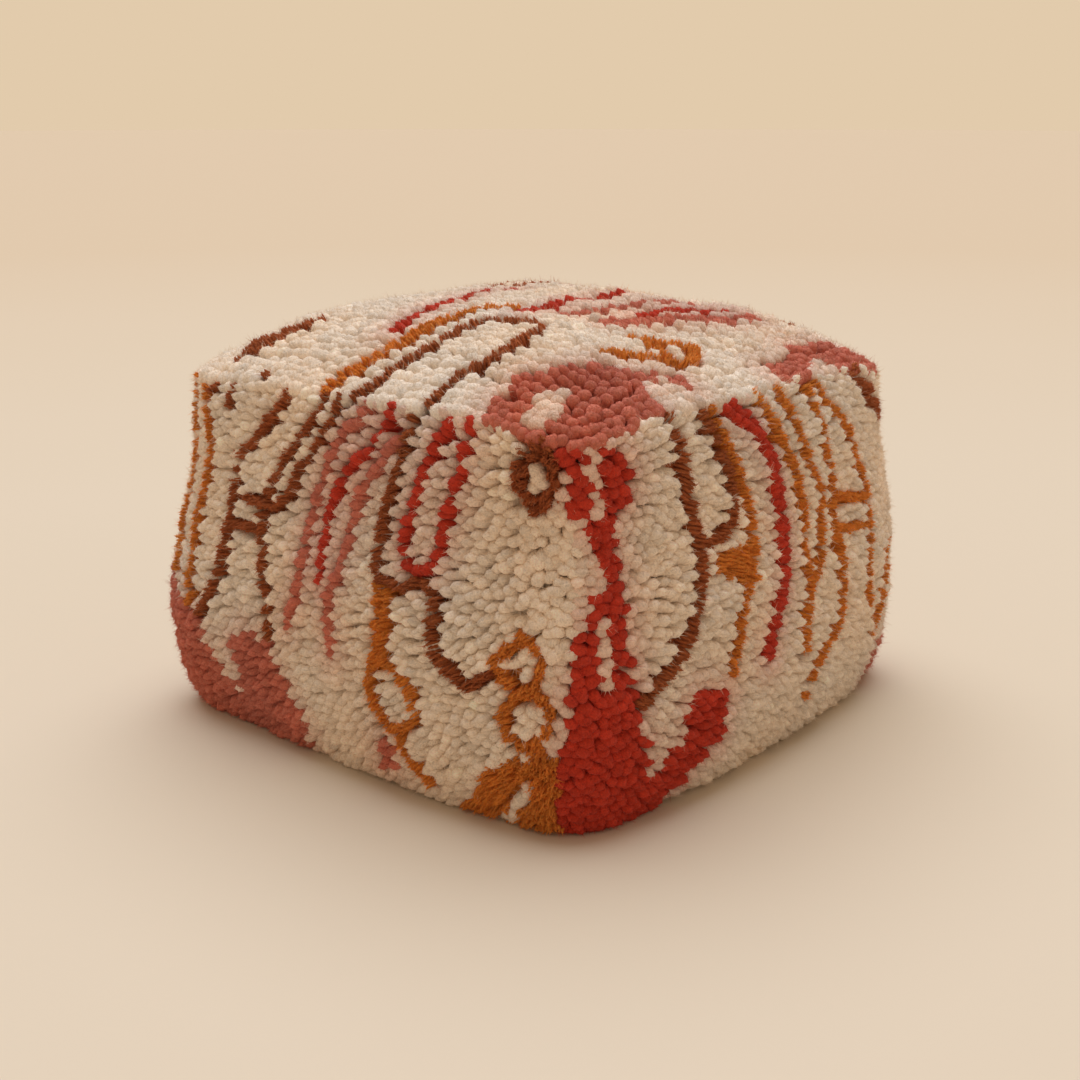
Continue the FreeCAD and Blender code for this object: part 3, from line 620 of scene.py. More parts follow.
def panel_knots(panel, chance):
    """A panel's knots: places on its grid, nap, yarn, slimness and drawn places; strokes first, then rows."""
    if panel == "top":
        span = 2 * HALF_DEPTH * SEAM_SHARE / MM
        rows = knot_lattice(span, span, TOP_KNOTS, TOP_KNOTS, chance) - [0, span / 2]
        steps = np.linspace(-1, 1, EDGE_KNOTS + 1)[:-1]
        edge = np.concatenate([edge_points(side, SEAM_SHARE, PILE, steps + set_on) * share / MM
                               for side in SIDES for set_on, share in EDGE_RINGS])
    else:
        half = half_edge(panel, 1.0, 0)[2][-1] / MM
        crowd = 1 + CROWDING * eased(WALL_WAY, WALL_WAY[-1] - CROWDED_BELOW, WALL_WAY[-1])
        crowded = np.append(0, np.cumsum((crowd[1:] + crowd[:-1]) / 2 * np.diff(WALL_WAY)))
        rows = knot_lattice(2 * ROWS_REACH * half, crowded[-1], KNOT_ACROSS, KNOT_ROWS, chance)
        rows[:, 1] = np.interp(rows[:, 1], crowded, WALL_WAY)
        rows = rows[np.abs(rows[:, 0]) < half * ROWS_REACH]
        heights = np.linspace(2, WALL_WAY[-1] - 4, CORNER_KNOTS)
        edge = np.column_stack([np.full(CORNER_KNOTS, -half), heights])
    rows = np.concatenate([edge, rows[clear_of(rows, edge, SEAM_ROOM)]])
    names = np.full(len(rows), "ivory", object)
    wander = np.array([noise.noise_vector(Vector((*place, 5.0)) * WANDERS)[:2] for place in rows])
    wander = rows + wander * PATCH_WANDER

    laid, laid_names, laid_slim = np.zeros((0, 2)), np.zeros(0, object), np.zeros(0)
    for yarn, width, points in PATTERN[panel]:
        if panel != "top":
            points = [(across, np.interp(height, WALL_HEIGHTS, WALL_WAY)) for across, height in points]
        if width is None:
            names[in_patch(wander, points)] = yarn
            continue
        lines = max(1, round(width / STROKE_LINE))
        asides = (np.arange(lines) + 0.5 - lines / 2) * width / lines
        spacing = FINE_STEP if yarn in FINE_YARNS else PLUMP_STEP
        fresh = np.concatenate([along_stroke(points, spacing, aside) for aside in asides])
        fresh = fresh + chance.normal(0, STROKE_STRAY, fresh.shape)
        kept = clear_of(laid, fresh, LATER_ROOM)
        laid = np.concatenate([laid[kept], fresh])
        laid_names = np.concatenate([laid_names[kept], np.full(len(fresh), yarn, object)])
        slimness = min(1.0, width / lines / FULL_TUFT)
        laid_slim = np.concatenate([laid_slim[kept], np.full(len(fresh), slimness)])
    free = clear_of(rows, laid, STROKE_ROOM)
    # Where a stroke leaves a hole in the rows beside it, one knot more of the rows' yarn closes it
    more = holes_between(np.concatenate([laid, rows[free]]), TOP_HOLE if panel == "top" else WALL_HOLE)
    more_names = [names[np.argmin(np.linalg.norm(rows - spot, axis=1))] for spot in more]
    places = np.concatenate([laid, rows[free], more])
    names = np.concatenate([laid_names, names[free], np.array(more_names, object)])
    slim = np.concatenate([laid_slim, np.ones(free.sum() + len(more))])
    # The pattern is drawn by the strands' ends, and the nap carries those aside of the knots
    upright = np.where(np.isin(names, FINE_YARNS), FINE_YARN_NAP, 1.0)
    if panel == "top":
        nap = upright * eased(1 - crown_places(*(places.T * MM))[2], *TOP_NAP_RISE)
        a, b, ring = crown_places(*(places.T * MM - nap * NAP * np.array(NAP_TOP)[:, None]))
        inside = ring < TOP_EDGE
    else:
        nap = upright * NAP_SIDE[panel] * eased(half - np.abs(places[:, 0]), *SIDE_NAP_RISE)
        a = ((places[:, 0] - nap * NAP / MM) / half + 1) / 2
        b = np.interp(places[:, 1], WALL_WAY, np.linspace(0, 1, len(WALL_WAY)))
        inside = (np.abs(places[:, 0]) <= half) & (places[:, 1] > 0) & (places[:, 1] < WALL_WAY[-1])
    return a[inside], b[inside], nap[inside], names[inside], slim[inside], places[inside]


def stained(colours, names, places):
    """Ivory yarn beside red or rose, tinted by the dye that came off in the wash."""
    plain = names == "ivory"
    for yarn in ("red", "rose"):
        dyed = places[names == yarn]
        gaps = np.linalg.norm(places[plain][:, None] - dyed[None], axis=2).min(axis=1)
        share = STAIN_SHARE * np.exp(-(gaps / STAIN_REACH) ** 2)[:, None]
        colours[plain] = colours[plain] * (1 - share) + share * linear(YARNS[yarn][0])
    return colours


# Hand-tied yarn. Tufts drift together and stray alone from upright, and on a wall they droop below the seam.
DRIFTS_PER_METRE, DRIFT, STRAY = 16.0, 0.22, 0.09
DROOP, DROOP_BELOW = 0.16, 60 * MM
# Change of tone over the cover, by colour channel, and from knot to knot and strand to strand
TONES_PER_METRE, TONE, KNOT_TONE, STRAND_TONE = 11.0, [0.05, -0.02, -0.10], 0.05, 0.035
# Lengths of fine and plump strands over the pile's, and the variety of length, thickness and place
FINE_LENGTH, PLUMP_LENGTH = 1.09, 1.05
LENGTH_VARIES, WIDTH_VARIES, PLACE_VARIES, TURN_VARIES = 0.03, 0.1, 0.12, 0.3
# Height that yarn keeps off the floor, and the steepest that it turns up
FLOOR_ROOM, STEEPEST = 4.5 * MM, 0.8
# Upright tufts at the edges: how oval, and how far they fan out. On the top they are packed flush.
OVAL, FAN, IVORY_FLUSH, DYED_FLUSH = 0.16, 0.25, 1.3, 1.04
# How far strands' ends lean with the drift, gather to their knot and stray
LEAN_DRIFT, LEAN_IN, LEAN_STRAY = 2.2, 0.2, 0.8 * MM
# A direction that strands are set round their knot from
ODD_WAY = [0.31, 0.52, 0.79]


def pile_points(panel, seed):
    """A cloud of strands, several to each knot, with all that the pile needs to grow from them."""
    chance = np.random.default_rng(seed)
    a, b, nap, names, slim, places = panel_knots(panel, chance)
    roots, normals = read_grid(cover.grids[panel], a, b), read_grid(outward[panel], a, b)
    drift = np.array([noise.noise_vector(Vector(root) * DRIFTS_PER_METRE) for root in roots])
    droop = np.clip((SEAM - roots[:, 2]) / DROOP_BELOW, 0, 1) * (0 if panel == "top" else DROOP)
    along = [*NAP_TOP, 0] if panel == "top" else [*SIDES[panel][0], 0]
    aslant = nap * NAP / PILE
    facing = normals + aslant[:, None] * along + drift * DRIFT + chance.normal(0, STRAY, normals.shape)
    facing[:, 2] -= droop
    facing /= np.linalg.norm(facing, axis=1)[:, None]
    colours = stained(np.array([linear(YARNS[name][0]) for name in names]), names, places)
    colours *= chance.normal(1.0, KNOT_TONE, len(roots))[:, None]
    tone = np.array([noise.noise(Vector(root) * TONES_PER_METRE) for root in roots])
    colours *= 1 + tone[:, None] * TONE

    # One strand stands in the middle of its knot and the others round it
    knot = np.repeat(np.arange(len(roots)), [YARNS[name][1] for name in names])
    place = np.arange(len(knot)) - np.searchsorted(knot, knot)
    strands, thick, spread, frizz = np.array([YARNS[name][1:] for name in names], float)[knot].T
    count = len(knot)
    turn = chance.uniform(0, math.tau, len(roots))[knot] + place * math.tau / np.maximum(strands - 1, 1)
    apart = np.where(place > 0, spread * slim[knot], 0.0) * chance.normal(1.0, PLACE_VARIES, count) * MM
    aside = np.cross(facing, ODD_WAY)
    aside /= np.linalg.norm(aside, axis=1)[:, None]
    other = np.cross(facing, aside)
    offset = (np.cos(turn) * apart)[:, None] * aside[knot] + (np.sin(turn) * apart)[:, None] * other[knot]
    roots, facing = roots[knot] + offset, facing[knot]
    longer = np.where(strands > 1, FINE_LENGTH, PLUMP_LENGTH)
    length = PILE * np.hypot(1, aslant)[knot] * chance.normal(longer, LENGTH_VARIES, count)

    # Yarn that would reach the floor turns up and lies along it
    lowest = (FLOOR_ROOM - roots[:, 2]) / length
    low = facing[:, 2] < lowest
    facing[low, 2] = np.minimum(lowest[low], STEEPEST)
    level = np.sqrt(np.maximum(1 - facing[:, 2] ** 2, 0.05)) / np.linalg.norm(facing[:, :2], axis=1)
    facing[low, :2] *= level[low][:, None]

    oval = np.where((strands > 1) | (panel == "top"), 1.0, 1 + OVAL * (1 - np.abs(nap[knot])))
    fanned = 1 + FAN * (1 - np.abs(nap[knot])) * (strands == 1)
    flush = np.where(names == "ivory", IVORY_FLUSH, DYED_FLUSH)[knot] if panel == "top" else 1.0
    width = thick * MM * chance.normal(1.0, WIDTH_VARIES, count) * fanned * flush
    lean = drift[knot] * LEAN_DRIFT * MM - LEAN_IN * offset
    lean = lean + chance.normal(0, LEAN_STRAY, (count, 3)) * frizz[:, None]
    colours = np.clip(colours[knot] * chance.normal(1.0, STRAND_TONE, count)[:, None], 0, 1)
    columns = math.ceil(math.sqrt(count))
    order = np.arange(count)
    cell = np.column_stack([order % columns, order // columns, np.zeros(count)]) / columns

    cloud = new_object(f"{panel}_knots", roots)
    for name, kind, field, values in (
            ("facing", "FLOAT_VECTOR", "vector", facing),
            ("lean", "FLOAT_VECTOR", "vector", lean),
            ("across", "FLOAT_VECTOR", "vector", along + chance.normal(0, TURN_VARIES, (count, 3))),
            ("girth", "FLOAT_VECTOR", "vector", np.column_stack([width * oval, width / oval, length])),
            ("cell", "FLOAT_VECTOR", "vector", cell),
            ("yarn", "FLOAT_COLOR", "color", np.column_stack([colours, np.ones(count)])),
            ("frizz", "FLOAT", "value", frizz),
            ("plump", "INT", "value", strands == 1)):
        layer = cloud.data.attributes.new(name, kind, "POINT")
        layer.data.foreach_set(field, values.astype(np.int32 if kind == "INT" else np.float32).ravel())
    return cloud, 1 / columns


# Nodes
def socket_of(sockets, key):
    """A socket by number or by name, the shown one where several share a name."""
    if isinstance(key, int):
        return sockets[key]
    return next(socket for socket in sockets if socket.name == key and socket.enabled)


def set_inputs(tree, node, links):
    """Gives each input its value, or links it to a node or a socket."""
    for key, value in links.items():
        socket = socket_of(node.inputs, key)
        if isinstance(value, bpy.types.Node):
            value = next(output for output in value.outputs if output.enabled)
        if isinstance(value, bpy.types.NodeSocket):
            tree.links.new(value, socket)
        else:
            socket.default_value = value


def add(tree, kind, links=None, **settings):
    """Adds a node with its settings; links hold a value, a node or a socket for each of its inputs."""
    node = tree.nodes.new(kind)
    for name, value in settings.items():
        setattr(node, name, value)
    set_inputs(tree, node, links or {})
    return node


# Kinds of node that the trees use often
MATH, VECTOR_MATH, MAP_RANGE = "ShaderNodeMath", "ShaderNodeVectorMath", "ShaderNodeMapRange"
COMBINE, SEPARATE = "ShaderNodeCombineXYZ", "ShaderNodeSeparateXYZ"
NOISE, MIX, COORDINATES = "ShaderNodeTexNoise", "ShaderNodeMix", "ShaderNodeTexCoord"
NAMED, STORE = "GeometryNodeInputNamedAttribute", "GeometryNodeStoreNamedAttribute"
POSITION, SET_POSITION = "GeometryNodeInputPosition", "GeometryNodeSetPosition"
INDEX, CYLINDER = "GeometryNodeInputIndex", "GeometryNodeMeshCylinder"
INSTANCES, REALIZE = "GeometryNodeInstanceOnPoints", "GeometryNodeRealizeInstances"
RANDOM, ALIGN = "FunctionNodeRandomValue", "FunctionNodeAlignRotationToVector"
ROTATE, ABOUT_AXIS = "FunctionNodeRotateRotation", "FunctionNodeAxisAngleToRotation"


def new_tree(name, sizes):
    """An empty tree with named inputs, and the nodes at its two ends."""
    tree = bpy.data.node_groups.new(name, "GeometryNodeTree")
    tree.interface.new_socket("Geometry", in_out="INPUT", socket_type="NodeSocketGeometry")
    for label, kind in sizes.items():
        tree.interface.new_socket(label, in_out="INPUT", socket_type=f"NodeSocket{kind}")
    tree.interface.new_socket("Geometry", in_out="OUTPUT", socket_type="NodeSocketGeometry")
    return tree, add(tree, "NodeGroupInput").outputs


def grown(name, source, tree, sizes):
    """The plain mesh that a tree grows from a source object, which then goes."""
    modifier = source.modifiers.new("grow", "NODES")
    modifier.node_group = tree
    for item in tree.interface.items_tree:
        if item.in_out == "INPUT" and item.name in sizes:
            modifier[item.identifier] = sizes[item.name]
    depsgraph = bpy.context.evaluated_depsgraph_get()
    mesh = bpy.data.meshes.new_from_object(source.evaluated_get(depsgraph), preserve_all_data_layers=True,
                                           depsgraph=depsgraph)
    mesh.name = name
    piece = bpy.data.objects.new(name, mesh)
    bpy.context.collection.objects.link(piece)
    source.modifiers.remove(modifier)
    return piece


def end_tree(tree, geometry, material, bake_map=None):
    """The map to bake into, smooth shading, the material and the tree's end."""
    if bake_map is not None:
        geometry = add(tree, STORE, {"Geometry": geometry, "Name": "OFBake", "Value": bake_map},
                       data_type="FLOAT2", domain="CORNER")
    rounded = add(tree, "GeometryNodeSetShadeSmooth", {"Geometry": geometry})
    finished = add(tree, "GeometryNodeSetMaterial", {"Geometry": rounded, "Material": material})
    add(tree, "NodeGroupOutput", {"Geometry": finished})
    return tree


# A cut strand's radius at shares of its height, between its root and its end
STRAND_PROFILE, STRAND_END = [(0.45, 0.92), (0.72, 1.0), (0.92, 0.84)], 0.45


def strand_shape(tree, sides, rings, waist, groove):
    """One cut strand, a unit high and in radius: narrower at its root, plump, grooved between its plies."""
    strand = add(tree, CYLINDER, {"Vertices": sides, "Side Segments": rings, "Radius": 1.0, "Depth": 1.0},
                 fill_type="TRIANGLE_FAN")
    mapped = add(tree, STORE, {"Geometry": strand, "Name": "strand", "Value": strand.outputs["UV Map"]},
                 data_type="FLOAT2", domain="CORNER")
    rootless = add(tree, "GeometryNodeDeleteGeometry", {
        "Geometry": mapped, "Selection": strand.outputs["Bottom"]}, domain="FACE")
    at = add(tree, SEPARATE, {0: add(tree, POSITION)}).outputs
    below = add(tree, MATH, {0: 0.5, 1: at["Z"]}, operation="SUBTRACT")
    crowded = add(tree, MATH, {0: below, 1: 1.8}, operation="POWER")
    along = add(tree, MATH, {0: 1.0, 1: crowded}, operation="SUBTRACT")
    swell = add(tree, "ShaderNodeFloatCurve", {"Value": along})
    profile = swell.mapping.curves[0].points
    profile[0].location, profile[1].location = (0, waist), (1, STRAND_END)
    for place, radius in STRAND_PROFILE:
        profile.new(place, radius)
    swell.mapping.update()
    off = add(tree, VECTOR_MATH, {0: add(tree, COMBINE, {"X": at["X"], "Y": at["Y"]})}, operation="LENGTH")
    dome = add(tree, MAP_RANGE, {"Value": off.outputs["Value"], "To Min": 0.08, "To Max": 0.0})
    second = add(tree, MATH, {0: add(tree, INDEX), 1: 2.0}, operation="MODULO")
    ply = add(tree, MATH, {0: second, 1: -groove, 2: 1.0}, operation="MULTIPLY_ADD")
    plied = add(tree, MATH, {0: swell, 1: ply}, operation="MULTIPLY")
    across = {axis: add(tree, MATH, {0: at[axis], 1: plied}, operation="MULTIPLY") for axis in "XY"}
    shaped = add(tree, COMBINE, {**across, "Z": add(tree, MATH, {0: along, 1: dome}, operation="ADD")})
    height = add(tree, STORE, {"Geometry": rootless, "Name": "along", "Value": along},
                 data_type="FLOAT", domain="POINT")
    tuft = add(tree, SET_POSITION, {"Geometry": height, "Position": shaped})
    return add(tree, "GeometryNodeGeometryToInstance", {"Geometry": tuft})


# The least height of a point, with no limit along X and Y
LOWEST = (-9, -9, 0.6 * MM)
# The part of its cell in the map that a strand fills, and the margin before it
CELL_FILL, CELL_MARGIN = (0.92, 0.92, 0), (0.04, 0.04, 0)


def above_floor(tree):
    """The position of a point, or just above the floor where it would go through."""
    return add(tree, VECTOR_MATH, {0: add(tree, POSITION), 1: LOWEST}, operation="MAXIMUM")


def cut_pile_tree():
    """Cut pile: one plump strand on a knot, or several fine ones, leaning and lumpy."""
    tree, sizes = new_tree("cut_pile", {"Plump sides": "Int", "Fine sides": "Int", "Lump size": "Float",
                                        "Lump height": "Float", "Cell": "Float", "Wool": "Material"})
    shapes = add(tree, "GeometryNodeJoinGeometry")
    for shape in (strand_shape(tree, sizes["Plump sides"], 4, 0.6, 0.1),
                  strand_shape(tree, sizes["Fine sides"], 2, 0.8, 0.0)):
        tree.links.new(shape.outputs[0], shapes.inputs[0])
    facing, girth, across, lean, cell, own = (
        add(tree, NAMED, {"Name": name}, data_type="FLOAT_VECTOR")
        for name in ("facing", "girth", "across", "lean", "cell", "strand"))
    plump = add(tree, NAMED, {"Name": "plump"}, data_type="INT")
    reach = add(tree, NAMED, {"Name": "along"}, data_type="FLOAT")
    upright = add(tree, ALIGN, {"Vector": facing}, axis="Z")
    turned = add(tree, ALIGN, {"Rotation": upright, "Vector": across}, axis="X", pivot_axis="Z")
    planted = add(tree, INSTANCES, {"Points": sizes["Geometry"], "Instance": shapes, "Pick Instance": True,
                                    "Instance Index": plump, "Rotation": turned, "Scale": girth})
    real = add(tree, REALIZE, {"Geometry": planted})

    bent = add(tree, MATH, {0: reach, 1: 2.0}, operation="POWER")
    bend = add(tree, VECTOR_MATH, {0: lean, "Scale": bent}, operation="SCALE")
    fineness = add(tree, MATH, {0: 1.0, 1: sizes["Lump size"]}, operation="DIVIDE")
    lumps = add(tree, NOISE, {"Vector": add(tree, POSITION), "Detail": 1.0, "Scale": fineness})
    centred = add(tree, VECTOR_MATH, {0: lumps.outputs["Color"], 1: (0.5, 0.5, 0.5)}, operation="SUBTRACT")
    lumpy = add(tree, VECTOR_MATH, {0: centred, "Scale": sizes["Lump height"]}, operation="SCALE")
    shift = add(tree, VECTOR_MATH, {0: bend, 1: lumpy}, operation="ADD")
    moved = add(tree, SET_POSITION, {"Geometry": real, "Offset": shift})
    moved = add(tree, SET_POSITION, {"Geometry": moved, "Position": above_floor(tree)})

    # Each strand has a cell of its own in the baked map
    inset = add(tree, VECTOR_MATH, {0: own, 1: CELL_FILL, 2: CELL_MARGIN}, operation="MULTIPLY_ADD")
    small = add(tree, VECTOR_MATH, {0: inset, "Scale": sizes["Cell"]}, operation="SCALE")
    placed = add(tree, VECTOR_MATH, {0: small, 1: cell}, operation="ADD")
    return end_tree(tree, moved, sizes["Wool"], placed)


def stray_fibre_tree():
    """Fine loose fibres that lift off the cut ends, more of them on frizzy yarn."""
    tree, sizes = new_tree("stray_fibres", {"Fibres per square metre": "Float", "Fibre length": "Float",
                                            "Fibre width": "Float", "Columns": "Float", "Seed": "Int",
                                            "Wool": "Material"})
    # A fibre is one slim triangle: two corners at its root and one at its tip
    index = add(tree, INDEX)
    half = add(tree, MATH, {0: index, 1: 0.5}, operation="MULTIPLY")
    along = add(tree, MATH, {0: half}, operation="FLOOR")
    aside = add(tree, MATH, {0: index, 1: 0.5}, operation="SUBTRACT")
    root = add(tree, MATH, {0: 1.0, 1: along}, operation="SUBTRACT")
    width = add(tree, MATH, {0: aside, 1: root}, operation="MULTIPLY")
    blade = add(tree, SET_POSITION, {
        "Geometry": add(tree, "GeometryNodeMeshCircle", {"Vertices": 3, "Radius": 1.0}, fill_type="NGON"),
        "Position": add(tree, COMBINE, {"X": width, "Y": along})})
    own_map = add(tree, VECTOR_MATH, {0: add(tree, POSITION), 1: (0.5, 0, 0)}, operation="ADD")
    fibre = add(tree, STORE, {"Geometry": blade, "Name": "strand", "Value": own_map},
                data_type="FLOAT2", domain="CORNER")

    facing, place, own = (add(tree, NAMED, {"Name": name}, data_type="FLOAT_VECTOR")
                          for name in ("facing", "cell", "strand"))
    reach, frizz = (add(tree, NAMED, {"Name": name}, data_type="FLOAT") for name in ("along", "frizz"))
    tips = add(tree, MAP_RANGE, {"Value": reach, "From Min": 0.6, "From Max": 0.85})
    frizzy = add(tree, MATH, {0: tips, 1: frizz}, operation="MULTIPLY")
    share = add(tree, MATH, {0: frizzy, 1: sizes["Fibres per square metre"]}, operation="MULTIPLY")
    spots = add(tree, "GeometryNodeDistributePointsOnFaces", {
        "Mesh": sizes["Geometry"], "Density": share, "Seed": sizes["Seed"]}, distribute_method="RANDOM")
    rows_on = add(tree, MATH, {0: index, 1: sizes["Columns"]}, operation="DIVIDE")
    row = add(tree, MATH, {0: rows_on}, operation="FLOOR")
    column = add(tree, MATH, {0: index, 1: sizes["Columns"]}, operation="MODULO")
    cell = add(tree, COMBINE, {"X": column, "Y": row})
    numbered = add(tree, STORE, {"Geometry": spots, "Name": "cell", "Value": cell},
                   data_type="FLOAT_VECTOR", domain="POINT")
    turn = add(tree, RANDOM, {"Min": 0.0, "Max": math.tau, "Seed": 11}, data_type="FLOAT")
    astray = add(tree, RANDOM, {"Min": (-1, -1, -1), "Max": (1, 1, 1), "Seed": 12}, data_type="FLOAT_VECTOR")
    away = add(tree, VECTOR_MATH, {0: facing, 1: spots.outputs["Normal"]}, operation="ADD")
    heading = add(tree, VECTOR_MATH, {0: away, 1: (0.35, 0.35, 0.35), 2: astray}, operation="MULTIPLY_ADD")
    lifted = add(tree, ROTATE, {
        "Rotation": add(tree, ALIGN, {"Vector": heading}, axis="Y"),
        "Rotate By": add(tree, ABOUT_AXIS, {"Axis": (0, 1, 0), "Angle": turn})}, rotation_space="LOCAL")
    chance = add(tree, RANDOM, {"Min": 0.0, "Max": 1.0, "Seed": 13}, data_type="FLOAT")
    few_long = add(tree, MATH, {0: chance, 1: 6.0}, operation="POWER")
    stretch = add(tree, MAP_RANGE, {"Value": few_long, "To Min": 0.6, "To Max": 2.2})
    length = add(tree, MATH, {0: stretch, 1: sizes["Fibre length"]}, operation="MULTIPLY")
    size = add(tree, COMBINE, {"X": sizes["Fibre width"], "Y": length, "Z": length})
    planted = add(tree, INSTANCES, {"Points": numbered, "Instance": fibre, "Rotation": lifted, "Scale": size})
    real = add(tree, REALIZE, {"Geometry": planted})
    moved = add(tree, SET_POSITION, {"Geometry": real, "Position": above_floor(tree)})
    shrink = add(tree, MATH, {0: 1.0, 1: sizes["Columns"]}, operation="DIVIDE")
    spread = add(tree, VECTOR_MATH, {0: own, 1: place}, operation="ADD")
    placed = add(tree, VECTOR_MATH, {0: spread, "Scale": shrink}, operation="SCALE")
    return end_tree(tree, moved, sizes["Wool"], placed)


def stitch_tree():
    """Stitches along a line: short lengths of thread, thinner where they go down into the cloth."""
    tree, sizes = new_tree("stitches", {"Pitch": "Float", "Stitch length": "Float", "Thread radius": "Float",
                                        "Slant": "Float", "Thread": "Material"})
    curve = add(tree, "GeometryNodeMeshToCurve", {"Mesh": sizes["Geometry"]})
    line = add(tree, "GeometryNodeResampleCurve", {"Curve": curve, "Length": sizes["Pitch"]}, mode="LENGTH")
    thread = add(tree, CYLINDER, {"Vertices": 6, "Side Segments": 4, "Radius": 1.0, "Depth": 1.0},
                 fill_type="TRIANGLE_FAN")
    at = add(tree, SEPARATE, {0: add(tree, POSITION)}).outputs
    end = add(tree, MATH, {0: at["Z"], 1: 2.0}, operation="MULTIPLY")
    squared = add(tree, MATH, {0: end, 1: end}, operation="MULTIPLY")
    narrow = add(tree, MAP_RANGE, {"Value": squared, "To Min": 1.0, "To Max": 0.55})
    across = {axis: add(tree, MATH, {0: at[axis], 1: narrow}, operation="MULTIPLY") for axis in "XY"}
    shaped = add(tree, COMBINE, {**across, "Z": at["Z"]})
    stitch = add(tree, SET_POSITION, {"Geometry": thread, "Position": shaped})
    along = add(tree, ALIGN, {"Vector": add(tree, "GeometryNodeInputTangent")}, axis="Z")
    slant = add(tree, ABOUT_AXIS, {"Axis": (1, 0, 0), "Angle": sizes["Slant"]})
    slanted = add(tree, ROTATE, {"Rotation": along, "Rotate By": slant}, rotation_space="LOCAL")
    size = add(tree, COMBINE, {"X": sizes["Thread radius"], "Y": sizes["Thread radius"],
                               "Z": sizes["Stitch length"]})
    planted = add(tree, INSTANCES, {"Points": line, "Instance": stitch, "Rotation": slanted, "Scale": size})
    return end_tree(tree, add(tree, REALIZE, {"Geometry": planted}), sizes["Thread"])


# Materials
def new_material(name):
    """An empty material with its shader and output."""
    material = bpy.data.materials.new(name)
    material.use_nodes = True
    tree = material.node_tree
    tree.nodes.clear()
    shader = add(tree, "ShaderNodeBsdfPrincipled")
    add(tree, "ShaderNodeOutputMaterial", {"Surface": shader})
    return material, tree, shader


def mottled(tree, noise_sizes, hex_low, hex_high):
    """A noise on Object coordinates, and the mix of two colours that follows it."""
    place = add(tree, COORDINATES).outputs["Object"]
    patches = add(tree, NOISE, {"Vector": place, **noise_sizes})
    colour = add(tree, MIX, {"Factor": patches, "A": rgba(hex_low), "B": rgba(hex_high)}, data_type="RGBA")
    return patches, colour.outputs["Result"]


# Wool's sheen, on tufts and on single fibres
WOOL_SHEEN = {"Sheen Weight": 0.06, "Sheen Roughness": 0.6, "Specular IOR Level": 0.15}
CRIMP = 1.6 * MM


def wool_pile_material():
    """Loosely spun sheep's wool, cut: matt, soft, fibrous, with painted shade that darkens it down towards the
    roots between the tufts.
    """
    material, tree, shader = new_material("cut_wool_pile")
    yarn, along, cell = (add(tree, "ShaderNodeAttribute", attribute_name=name)
                         for name in ("yarn", "along", "cell"))
    # Wool's own fibres are far too fine to show, so they are drawn about 2 mm apart round a strand
    own = add(tree, VECTOR_MATH, {0: cell.outputs["Vector"], "Scale": 310.0}, operation="SCALE")
    spread = add(tree, VECTOR_MATH, {0: add(tree, "ShaderNodeUVMap", uv_map="strand"), 1: (18, 3, 1), 2: own},
                 operation="MULTIPLY_ADD")
    strands = add(tree, NOISE, {"Vector": spread, "Scale": 1.0, "Detail": 4.0, "Roughness": 0.7})
    # Crimped ends of single fibres, drawn as specks
    place = add(tree, COORDINATES).outputs["Object"]
    crimp = add(tree, NOISE, {"Vector": place, "Scale": 1 / CRIMP, "Detail": 2.0})
    fuzz = add(tree, MATH, {0: strands, 1: crimp}, operation="ADD")
    fleck = add(tree, MAP_RANGE, {"Value": fuzz, "From Min": 0.65, "From Max": 1.35,
                                  "To Min": 0.75, "To Max": 1.25})
    # Painted shade: the colour darkens down each strand towards its root, where the tufts shade each other, and
    # is a little lighter at the tip
    depth = add(tree, MAP_RANGE, {"Value": along.outputs["Fac"], "From Min": 0.1, "From Max": 0.8,
                                  "To Min": 0.85, "To Max": 1.05})
    shade = add(tree, MATH, {0: fleck, 1: depth}, operation="MULTIPLY")
    colour = add(tree, VECTOR_MATH, {0: yarn.outputs["Color"], "Scale": shade}, operation="SCALE")
    bump = add(tree, "ShaderNodeBump", {"Height": fuzz, "Strength": 0.9, "Distance": CRIMP})
    set_inputs(tree, shader, {"Base Color": colour, "Roughness": 0.95, "Normal": bump, **WOOL_SHEEN})
    return material


def wool_fibre_material():
    """Single wool fibres: the yarn's colour, made a little lighter all over as a painted highlight for the
    light they catch.
    """
    material, tree, shader = new_material("wool_fibre")
    yarn = add(tree, "ShaderNodeAttribute", attribute_name="yarn")
    # Painted highlight: the yarn's colour made a little lighter
    colour = add(tree, VECTOR_MATH, {0: yarn.outputs["Color"], "Scale": 1.02}, operation="SCALE")
    set_inputs(tree, shader, {"Base Color": colour, "Roughness": 0.9, **WOOL_SHEEN})
    return material


def woven_material(name, hex_light, hex_dark, thread, rough):
    """Plain woven cloth: threads that pass over and under, each a little different in tone."""
    material, tree, shader = new_material(name)
    weave = add(tree, "ShaderNodeUVMap", uv_map="weave")
    place = add(tree, VECTOR_MATH, {0: weave, "Scale": math.pi / thread}, operation="SCALE")
    axes = add(tree, SEPARATE, {0: place})
    warp, weft = (add(tree, MATH, {0: axes.outputs[axis]}, operation="SINE") for axis in "XY")
    over = add(tree, MATH, {0: warp, 1: weft}, operation="MULTIPLY")
    slub = add(tree, NOISE, {"Vector": place, "Scale": 0.35, "Detail": 2.0})
    mixed = add(tree, MATH, {0: over, 1: 0.22, 2: slub}, operation="MULTIPLY_ADD")
    colour = add(tree, MIX, {"Factor": mixed, "A": rgba(hex_dark), "B": rgba(hex_light)}, data_type="RGBA")
    bump = add(tree, "ShaderNodeBump", {"Height": over, "Strength": 0.5, "Distance": thread * 0.3})
    set_inputs(tree, shader, {"Base Color": colour.outputs["Result"], "Roughness": rough, "Normal": bump,
                              "Sheen Weight": 0.1, "Specular IOR Level": 0.25})
    return material


